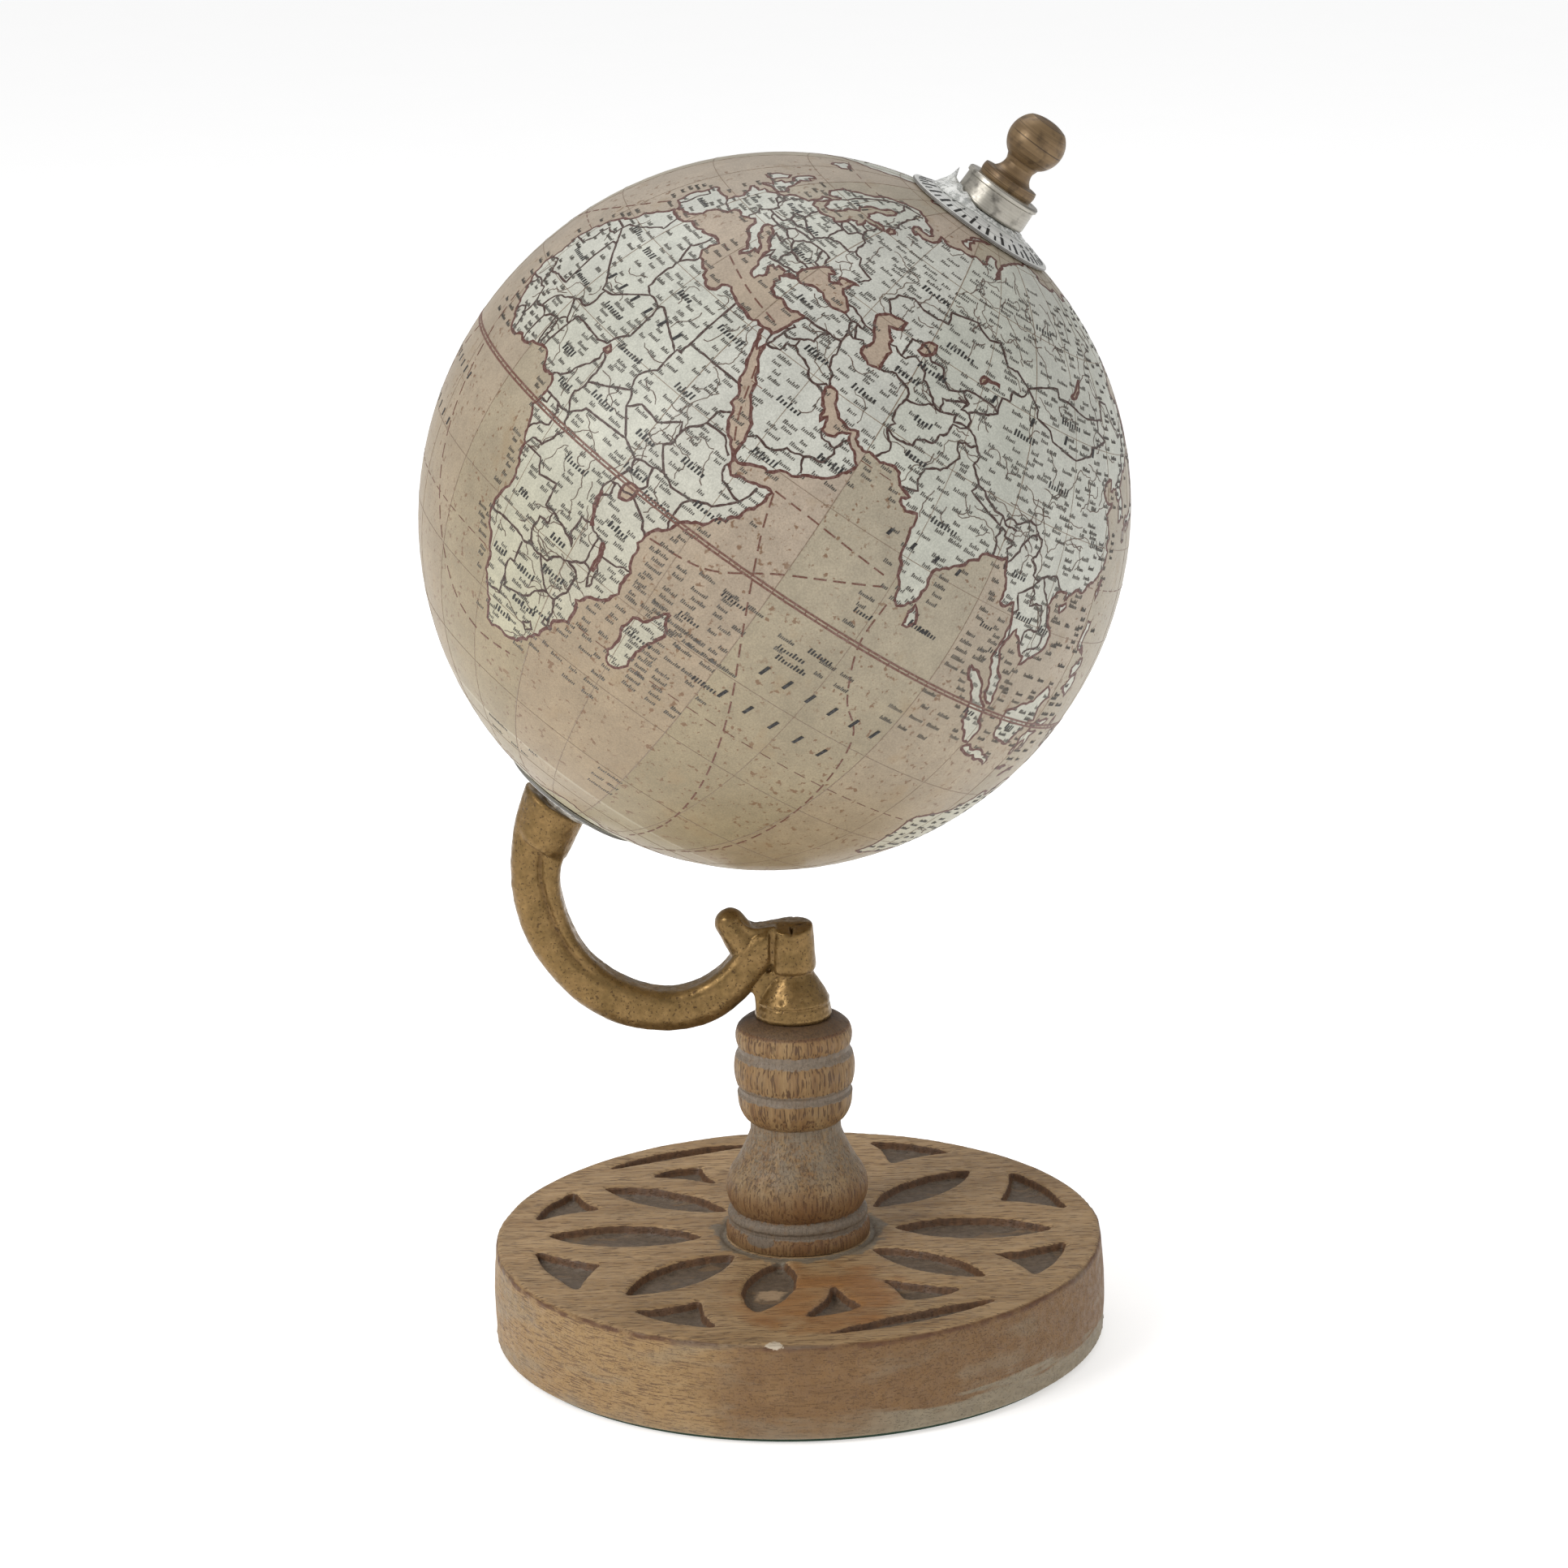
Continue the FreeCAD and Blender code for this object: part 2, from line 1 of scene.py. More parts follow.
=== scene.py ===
"""Looks of a small desktop globe that leans on a brass arm over a carved wooden stand.

Everything is in metres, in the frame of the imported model. The printed map is drawn here from
coarse outlines in degrees of longitude and latitude. Names of places are left out: rows of
plain upright bars stand in for all lettering, and only the hour dial has numbers.
"""

import json
import math
import random

import bmesh
import bpy
import numpy as np
from mathutils import Matrix, Vector, geometry, noise
from mathutils.bvhtree import BVHTree


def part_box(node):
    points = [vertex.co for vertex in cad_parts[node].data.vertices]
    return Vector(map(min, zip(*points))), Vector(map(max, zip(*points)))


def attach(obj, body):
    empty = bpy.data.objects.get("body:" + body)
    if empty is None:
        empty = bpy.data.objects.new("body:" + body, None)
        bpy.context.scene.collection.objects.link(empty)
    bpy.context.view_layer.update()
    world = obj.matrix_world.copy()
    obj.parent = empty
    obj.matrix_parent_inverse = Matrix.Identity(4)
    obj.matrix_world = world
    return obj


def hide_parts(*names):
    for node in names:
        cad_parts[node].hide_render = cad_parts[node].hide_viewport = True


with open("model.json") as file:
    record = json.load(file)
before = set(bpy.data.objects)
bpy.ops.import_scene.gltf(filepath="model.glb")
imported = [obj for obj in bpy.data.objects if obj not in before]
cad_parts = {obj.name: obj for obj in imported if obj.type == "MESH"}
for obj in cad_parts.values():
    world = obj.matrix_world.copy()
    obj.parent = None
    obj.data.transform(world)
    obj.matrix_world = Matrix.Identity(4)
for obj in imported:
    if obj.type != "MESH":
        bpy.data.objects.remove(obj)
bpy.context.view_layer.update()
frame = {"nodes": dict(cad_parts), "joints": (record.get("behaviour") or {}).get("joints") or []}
NODES = frame["nodes"]
MM = 0.001

# ---------------------------------------------------------------- the map, in degrees
# A place is "longitude,latitude". Each outline is one closed coast.
COASTS = {
    "africa": """-5.9,35.8 -2.2,35.1 1,36.5 5,36.8 9.8,37.3 11,37 10.2,34.2 11.5,33.2 15.2,32.3 15.7,31.4
        18,30.4 20,31 20,32.2 21.7,32.9 23.2,32.2 25,31.6 29,30.9 30.5,31.5 32.3,31.2 32.6,29.9 33.6,27.8
        34.3,26.1 35.5,24 35.6,22.9 37.1,21.2 37.3,19 38.6,18 39.7,15.5 41.2,14.6 43.1,12.7 43.3,11.5
        44.5,10.4 47,11.1 51.2,11.9 51.1,10.4 49.8,8 48,4.5 45.5,2 42,-0.9 40.3,-2.6 39.2,-4.7 38.8,-6.2
        39.5,-7.5 39.5,-9 40.5,-10.6 40.6,-14.5 39.2,-16.8 36.9,-17.9 34.8,-19.9 35.5,-22.2 35.4,-24
        32.8,-25.5 32.9,-27 31.2,-29.6 29,-32 27,-33.6 25.6,-34 22,-34.1 20,-34.8 18.4,-34.3 18.2,-32.5
        17,-29.5 15.2,-26.8 14.5,-23 11.8,-18 12.5,-14.5 13.8,-11 13.2,-8.8 12.2,-6 11,-4 8.9,-0.7 9.7,1.2
        9.8,3.2 9.5,4 8.7,4.6 6.5,4.3 5.5,5.2 4.4,6.4 1.5,6.2 -2,4.8 -4,5.3 -7.6,4.4 -9.5,5.6 -11.4,6.9
        -13.2,8.8 -15,11 -16.8,12.5 -16.7,13.6 -17.4,14.7 -16.4,16.3 -16.3,19.3 -17,21 -16,23.8 -14.5,26.2
        -12.9,27.9 -11,29 -9.7,30.4 -9.8,31.5 -8,33.3 -6.8,34.1""",
    "eurasia": """32.3,31.2 34.3,31.3 35,32.8 35.9,35.5 36.1,36.8 34.6,36.7 33.7,36.1 32.4,36.1 30.6,36.8
        29,36.3 28.2,36.7 27.3,37 26.4,38.2 26.9,39 26.1,39.5 27,40.4 29,41.1 31.4,41.3 33.3,42 35.1,42
        36.3,41.3 38.4,40.9 41.5,41.5 41.6,42.3 39.8,43.6 37.4,44.8 38.2,46.7 39.2,47.2 36,46.6 35,46.2
        35.3,45.4 36.5,45.3 35.4,45 34,44.4 32.6,45.4 33.6,46.1 31.5,46.6 30.5,46 29.7,45.2 28.6,43.8
        27.9,42.9 28,41.9 28.9,41.3 27,40.9 26.2,40.2 26,40.8 24,40.8 23.9,40 22.9,40.4 22.7,39.5 23.3,39.1
        24,38.2 23.2,37.4 23,36.5 21.7,36.8 21.2,37.8 21,38.7 20,39.7 19.4,40.8 19.5,41.8 18.4,42.5 16.2,43.6
        14.9,45 13.7,45.2 13.6,45.7 12.3,45.2 12.4,44.2 13.6,43.5 14.2,42.5 16.1,41.8 18.5,40.2 16.9,40.5
        17.1,39 16.1,38 15.7,38.3 16,39.5 15.2,40.1 14,40.9 12.3,41.7 10.5,42.9 10.2,43.9 8.8,44.4 7.4,43.7
        6,43.1 3.9,43.5 3.1,42.9 3.2,41.9 0.9,41 -0.3,39.5 0.1,38.7 -0.7,37.7 -2,36.8 -4.5,36.7 -5.6,36
        -6.4,36.8 -8.9,37 -9.5,38.7 -8.8,41 -9.2,43 -8,43.7 -4,43.4 -1.8,43.4 -1.1,46 -2.8,47.5 -4.7,48.2
        -4.6,48.6 -1.6,48.7 -1.9,49.7 0.2,49.7 1.6,50.8 3.8,51.5 4.8,53 7,53.5 8.8,54 8.2,56.8 10.6,57.7
        10.4,56 9.6,55 11,54 14.2,53.9 18.5,54.8 19.8,54.4 21,55.5 21.1,57 22.6,57.7 24.1,57.1 24.4,58.4
        23.5,59.2 28,59.6 30.2,59.9 28.5,60.6 25,60.2 22.9,59.9 21.4,60.8 21.4,62.5 25.3,65 24.2,65.8 22,65.5
        21.3,64.4 17.5,62 17.1,60.7 18.8,60 16.6,58.6 16.2,56.6 14.5,55.5 12.9,55.5 11.2,58.8 10.6,59.4
        8.2,58.1 5.6,58.9 5,61.5 9,63.7 12.5,66 15,68.2 19,69.8 25.7,71 31,70.3 33.5,69.3 41,67 40.3,66.3
        34.5,66.7 34,65.2 37,64 37,65 39.8,64.6 44,66 43.5,68.5 46,68.2 46.5,67.8 53.5,68.8 59,68.9 61,69.8
        65,69.2 67,69.7 66.8,71.2 69,73 72.5,72.7 72,71.2 73,69 72,67 74,68 75,71 76,72.2 80.5,73.6 87,75.2
        98,76.4 104,77.7 113,75.6 110,74 113.5,73.5 123,73 127,73.5 131,71.2 140,72.5 150,71.6 160,69.7
        170,69.8 178,69 185,67.5 190,66.2 187,64.5 180,65 177.5,62.5 172,61 163.5,60 162,58 163.3,56.2
        161.7,55 158.5,53 156.7,51 155.8,55.5 156.8,57.8 161,60.5 164.5,62.5 157,61.7 155,59.3 149,59.5
        142.5,59.3 135.3,54.8 141.3,53.1 140.5,50 140.3,48 135.5,44.4 133,42.8 130.8,42.4 129.7,41.4
        127.5,39.8 128.4,38.6 129.4,37 129.3,35.4 126.5,34.4 126.3,36.7 126.7,37.8 125.1,38 124.7,39.6
        121.3,38.9 121.9,40.7 118,39.2 117.7,38.4 119,37.2 122.4,37.3 119.3,35.1 120.3,34.2 121.9,31.7
        120.9,30.4 122,29.6 121.5,28 119.7,26 118,24.4 114.2,22.3 110.5,21.3 109.8,20.4 109.6,21.6 107.9,21.5
        106,19.9 105.6,18.7 107,17 108.9,15.2 109.4,12.7 107.2,10.4 105,8.7 105,10 103.5,10.6 102.3,12.1
        100.9,12.7 100.5,13.5 99.9,12.2 99.2,10.2 100.2,8.4 101,6.9 102.9,5.6 103.4,4 104.2,1.4 103.4,1.4
        101.4,2.7 100.4,5.5 98.4,8 98.6,10.5 98.6,13 97.7,15.8 97.2,17 95.3,15.8 94.3,16.2 94.4,18.2 93,20.1
        91.8,22.4 90.3,21.9 88.8,21.7 86.9,21.2 86.7,20.2 85,19.4 82.3,16.8 80.3,15.8 80.3,13.2 79.9,10.3
        78.9,9.3 78.1,8.4 77.5,8.1 76.4,9.6 74.8,13 73.5,16 72.9,19 72.7,21.4 72.1,21.2 70.8,20.8 69,22.2
        70.2,22.9 68.5,23.3 67.3,24.2 66.6,25.2 61.6,25.1 57.3,25.7 56.9,26.9 54.5,26.6 51.8,27.8 50.8,29.2
        50.1,30.1 48.7,30.2 48,29.6 48.4,28.5 50.1,26.8 50.2,25.6 50.8,24.8 51.3,26.1 51.6,25 51.8,24
        54.2,24.2 56.1,26 56.5,24.9 58.7,23.6 59.8,22.5 58.5,20.3 57.7,19 56.3,17.9 55.2,17.4 52.2,15.6
        48.7,14 45,12.8 43.5,12.7 42.8,14.8 42.6,16.5 40.8,19.7 39.1,21.5 38.4,23.7 36.9,25.6 35.2,28.1
        34.9,29.4 34.3,27.9 33.6,28.5 32.6,29.9""",
    "madagascar": """49.2,-12.1 50.4,-15.6 49.6,-17 48,-22 47,-24.9 45.2,-25.5 43.7,-23.4 44.4,-20 44.2,-18
        44.6,-16.2 46.3,-15.8 48,-13.6""",
    "sri_lanka": "79.8,8.1 80.2,9.7 81.3,8.5 81.9,7.2 81,6.1 80.1,6.1",
    "britain": """-5.2,50.1 -3,50.7 1.3,51.2 1.7,52.7 0.2,53 -1.5,55 -3,56 -2,57.6 -4,57.7 -3.1,58.6 -5,58.6
        -5.8,57.2 -5.4,55.4 -3.1,54.9 -3,53.4 -4.6,53.2 -4.2,52.3 -5.2,51.8 -3,51.4""",
    "ireland": "-6.2,53.5 -6.1,52.2 -9.8,51.6 -9.9,53.4 -8.5,54.3 -7.4,55.3 -5.6,54.5",
    "iceland": "-22,64 -18.8,63.4 -14,64.6 -14.8,66.1 -18,66.1 -22.2,66.4 -24,65.6 -22.3,65",
    "greenland": """-44,60 -48.5,61.5 -52,65 -54,67.2 -51,69.5 -55,71.5 -58,74.7 -66,76 -72,78 -66,80 -60,82
        -45,82.5 -32,83.5 -20,82.2 -12,81.5 -18,80 -18.5,77 -20,75 -22,72 -24,70 -32,68 -38,65.7 -41,63.5""",
    "svalbard": "11,79 14,77 17,76.6 21,78.5 27,80 17,80",
    "novaya": """51.7,71.5 55,70.6 57.5,70.7 55.5,72.5 57,74.5 62,76 68,76.9 60,76.3 55,75 53,73""",
    "sakhalin": "142,46 143.5,49.2 144.5,49 143.2,51.5 143.2,54.3 142.2,53.5 142,50",
    "honshu": """131,34 132.4,35.4 136,35.7 139.4,38.2 140,40.5 141.4,41.4 142,39.5 141,38.2 140.8,35.8
        139,34.8 137,34.6 135.7,33.5 135,34.6 132.5,34.2""",
    "hokkaido": "140,41.5 140.4,43.3 141.8,45.4 145.3,44.2 145.5,43.2 143.2,42",
    "kyushu": "130,31.3 130,33.2 131.7,33.6 131.4,31.4",
    "shikoku": "132.5,33.8 134.3,34.3 134,33.3 133,32.8",
    "taiwan": "120.1,23 121,25 122,25 121.3,22.8 120.8,21.9",
    "hainan": "108.7,19.3 110.5,20.1 110.9,19.5 109.5,18.3",
    "luzon": "120.3,16 120.6,18.5 122.2,18.4 121.6,16 122,14.2 124,13 121,13.7 120.2,14.8",
    "mindanao": "122,7 123.5,8.6 125.5,9.8 126.5,7.5 125.5,5.8 124,6.5",
    "visayas": "122,10.5 123.1,11.5 125,12.5 125.7,11.2 124.8,10.1 123,9.2",
    "borneo": """109,1.5 111.3,2.5 113.2,3.3 115.5,5.5 116.8,7 119.2,5.3 117.8,4 119,1 117.5,0.8 116.5,-1.5
        116,-4 114.5,-4 111.8,-3.5 110.2,-2.9 109.2,-0.4""",
    "sumatra": """95.3,5.6 97.5,5.2 100.3,2.8 103.5,0.2 104.4,-1.9 106,-3 105.8,-5.8 104.5,-5.8 102.3,-4
        100.4,-1 98.7,1.7 96.5,3.6""",
    "java": """105.3,-6.8 106.8,-6 108.6,-6.7 110.9,-6.4 112.8,-7 114.5,-7.8 114.4,-8.7 111,-8.2 108,-7.8
        106.5,-7.4""",
    "sulawesi": """119.4,-5.6 119.5,-3.3 118.8,-2.7 119.8,0.2 120.8,1.3 124.8,1.5 123.8,0.4 120.3,0.4
        120.2,-1 123.3,-0.9 121.8,-1.9 122.5,-4 121.5,-4.7 120.9,-2.7 120.3,-3.2 120.4,-5.6""",
    "new_guinea": """131,-0.8 134,-0.8 135,-3.3 138,-1.7 141,-2.6 144.5,-3.8 147.8,-6.3 147.2,-7.5
        150.8,-10.3 147.5,-9.9 144.5,-7.7 141,-9.1 138,-8.3 138.8,-7 135.5,-4.4 133,-4 132.8,-2.8""",
    "timor": "123.6,-10.3 127.2,-8.4 125,-9.5",
    "flores": "119.9,-8.5 122.9,-8.3 121,-8.9",
    "halmahera": "127.5,0.8 128,2.1 128.6,1 127.9,-0.5",
    "australia": """113.7,-22 114.2,-26.2 115.8,-32 115.1,-34.3 118,-35 123.6,-33.9 126,-32.3 131.2,-31.5
        134.2,-32.8 135.7,-34.9 137.8,-32.7 138.1,-35.6 140,-38 143.5,-38.8 147,-38.3 150,-37.3 152.5,-32.4
        153.6,-28.5 152.9,-25.3 150.8,-23.4 149,-20.3 146.2,-18.8 145.3,-15 143.6,-14.4 142.5,-10.8
        141.6,-12.9 140.8,-17.5 139.2,-17.4 135.5,-15 137,-12.2 132.6,-11.4 130.7,-12.5 129.6,-15 128,-14.9
        126,-14 123.6,-17.3 122.2,-18.2 119.2,-20 116.8,-20.6""",
    "tasmania": "144.8,-40.8 148.2,-40.8 148,-43.1 146,-43.5",
    "new_zealand_north": """173,-34.5 175.4,-36.5 178.3,-37.8 177,-39.5 175.2,-41.5 173.9,-39.3
        174.7,-37.8""",
    "new_zealand_south": """172.7,-40.6 174.2,-41.5 172.8,-43.8 170.7,-45.9 168.5,-46.6 166.6,-45.9 168.5,-44
        171,-42.4""",
    "cuba": "-84.8,22 -82,23.1 -77,21.8 -74.3,20.2 -77.7,19.9 -80,21.6",
    "hispaniola": "-74.4,18.5 -73,19.9 -70,19.7 -68.4,18.6 -71,17.8",
    "baffin": "-64,63 -62,66.5 -68,70 -80,73.5 -88,73.5 -85,70 -72.5,67.8 -77,65 -70,62.8",
    "victoria_island": "-105,69.5 -117,69.5 -117,72.5 -105,73",
    "ellesmere": "-78,76.5 -90,77 -92,81 -70,83 -62,82 -74,79",
    "newfoundland": "-59.2,47.7 -55.8,51.5 -53,46.8",
    "antarctica": """-170,-78 -160,-78 -150,-77 -130,-74.5 -110,-74.5 -100,-72.5 -80,-73 -74,-70 -68,-67
        -62,-64.5 -57,-63.4 -60,-66 -61.5,-70 -61,-74 -75,-77 -60,-80 -40,-78 -30,-76.5 -18,-73 -10,-71 0,-70
        15,-69.5 30,-69 38,-70 45,-67.7 55,-66 60,-67.5 70,-68.5 74,-70 78,-69 82,-67 95,-66.5 110,-66
        125,-66.8 140,-66.8 150,-68.3 160,-70 170,-71.5 165,-75 163,-78 190,-78 190,-86 -170,-86""",
    "north_america": """-168,65.6 -163,67 -166,68.5 -156.5,71.3 -141,69.6 -128,70.2 -115,68.2 -105,68
        -95,67.5 -94,72 -90,68.8 -82,69.5 -81,67.5 -87,64.5 -94,61 -94.5,58.7 -88,56.5 -82.3,55.2 -82,53
        -79,51.4 -79,54.5 -76.5,57 -78.3,60 -77.5,62.4 -72,61.5 -65,58.7 -61.5,57 -57,53.5 -55.7,52 -60,50.2
        -66.5,50.2 -70,47 -64.5,48.8 -64.8,46.5 -61,46 -65.5,43.6 -67,44.8 -70.5,43.2 -70,41.7 -74,40.5
        -75.5,38 -76,35.4 -78.5,33.8 -81.3,31.5 -80.1,26.8 -81.2,25.2 -82.8,28 -84.2,30 -89,30.3 -90.5,29.2
        -94.5,29.4 -97.4,27.5 -97.8,22.5 -95.8,18.8 -94.3,18.2 -91.5,18.5 -90.4,21 -87,21.5 -88.2,17.5
        -88.7,15.9 -83.2,15 -83.6,11 -81.7,9 -79.6,9.5 -77.3,8.6 -79.5,8.8 -80.4,7.3 -83,8.3 -85.8,10.8
        -87.6,13 -91.5,14 -94.8,16.2 -99.5,16.7 -105.5,20 -106,22.8 -109.4,26 -112.8,31 -114.7,31.5 -112,27
        -109.6,23 -112.2,25.5 -114.8,28 -116.5,31.5 -118.5,34 -120.6,34.6 -122.5,37.5 -124.3,40.3 -124,46
        -123,48.8 -127.5,51 -130.5,54.7 -134.5,58.2 -140,59.7 -147,60.9 -152,59 -158,56.4 -164.5,54.6
        -158,58.5 -162,58.8 -165.5,61.5 -161,64.2""",
    "south_america": """-77.3,8.6 -75,11 -71.5,12.3 -71.6,10.8 -68,11.2 -62,10.6 -60,8.4 -57,6 -52,4.8
        -50,1.2 -48,-0.8 -44,-2.7 -39,-3.2 -35.2,-5.6 -35,-8.6 -38.5,-13 -39.2,-17.8 -41,-22 -44.7,-23.2
        -48.5,-26 -48.8,-28.5 -52.5,-33 -54,-34.8 -58.3,-34.3 -57,-36.5 -62,-39 -65,-41 -65.2,-45 -67.5,-46
        -66,-48 -69,-51 -68.4,-53 -65.3,-54.7 -70,-55 -74.5,-52 -75.6,-47 -73,-42 -73.7,-37.5 -71.5,-32
        -70.3,-27 -70.2,-18.5 -76,-14 -79.7,-7.5 -81.3,-4.7 -80,-2.7 -80.9,-1 -78.9,1.3 -77.3,4 -77.6,7""",
}

# Water inside the land.
LAKES = {
    "caspian": """47,45 49.5,46.4 53,46.9 53,45.3 51,44.5 50.3,44.4 51.5,43.2 52.7,42.6 52.5,41.7 53.9,40.8
        53.5,40 53.8,37.1 51.5,36.7 49.2,37.6 48.9,38.8 49.8,40.4 48.5,41.9 47.5,43.2 46.8,44.6""",
    "aral": "58.5,45.5 59.5,46.3 61.5,46.6 61.7,45.3 60.8,44.2 59.5,43.6 58.3,43.8",
    "victoria": "31.8,-0.5 32.5,0.3 34,0.3 34.2,-0.8 33.6,-2.2 32.2,-2.5 31.8,-1.5",
    "tanganyika": "29.2,-3.4 29.4,-6 30.8,-8.7 31.1,-8.4 29.9,-6 29.5,-3.5",
    "malawi": "34,-9.6 34.6,-11.5 34.6,-14.2 35,-14.2 34.9,-11.5 34.4,-9.7",
    "baikal": "103.8,51.6 105.5,52.6 109,55.5 109.8,55.6 108.5,53.5 106,51.9",
    "balkhash": "73.8,45.8 74.5,46.6 78.8,46.8 79,46.4 75.5,46.3 74.2,45.1",
    "ladoga": "30.9,60.1 30.2,61.2 31.3,61.7 32.8,61 32.2,60.2",
    "chad": "13.5,12.6 14,13.9 14.9,13.2 14.6,12.7",
}

# Enclosed seas are printed darker. These areas overlap the land, which is printed over them.
DARK_SEAS = {
    "mediterranean": "-5.5,30 -5.5,45 5,46.5 12,47 20,46.5 28,49 43,49 43,40.5 37.5,36.5 36.6,30.6",
    "red_sea": "36.6,30.6 45,13.6 43.4,12.3 40,12 31.5,29 31,30.4",
    "gulf": "46.5,31 52,31.2 57.4,27.2 56.6,25.8 53,23 46.5,24.5",
}

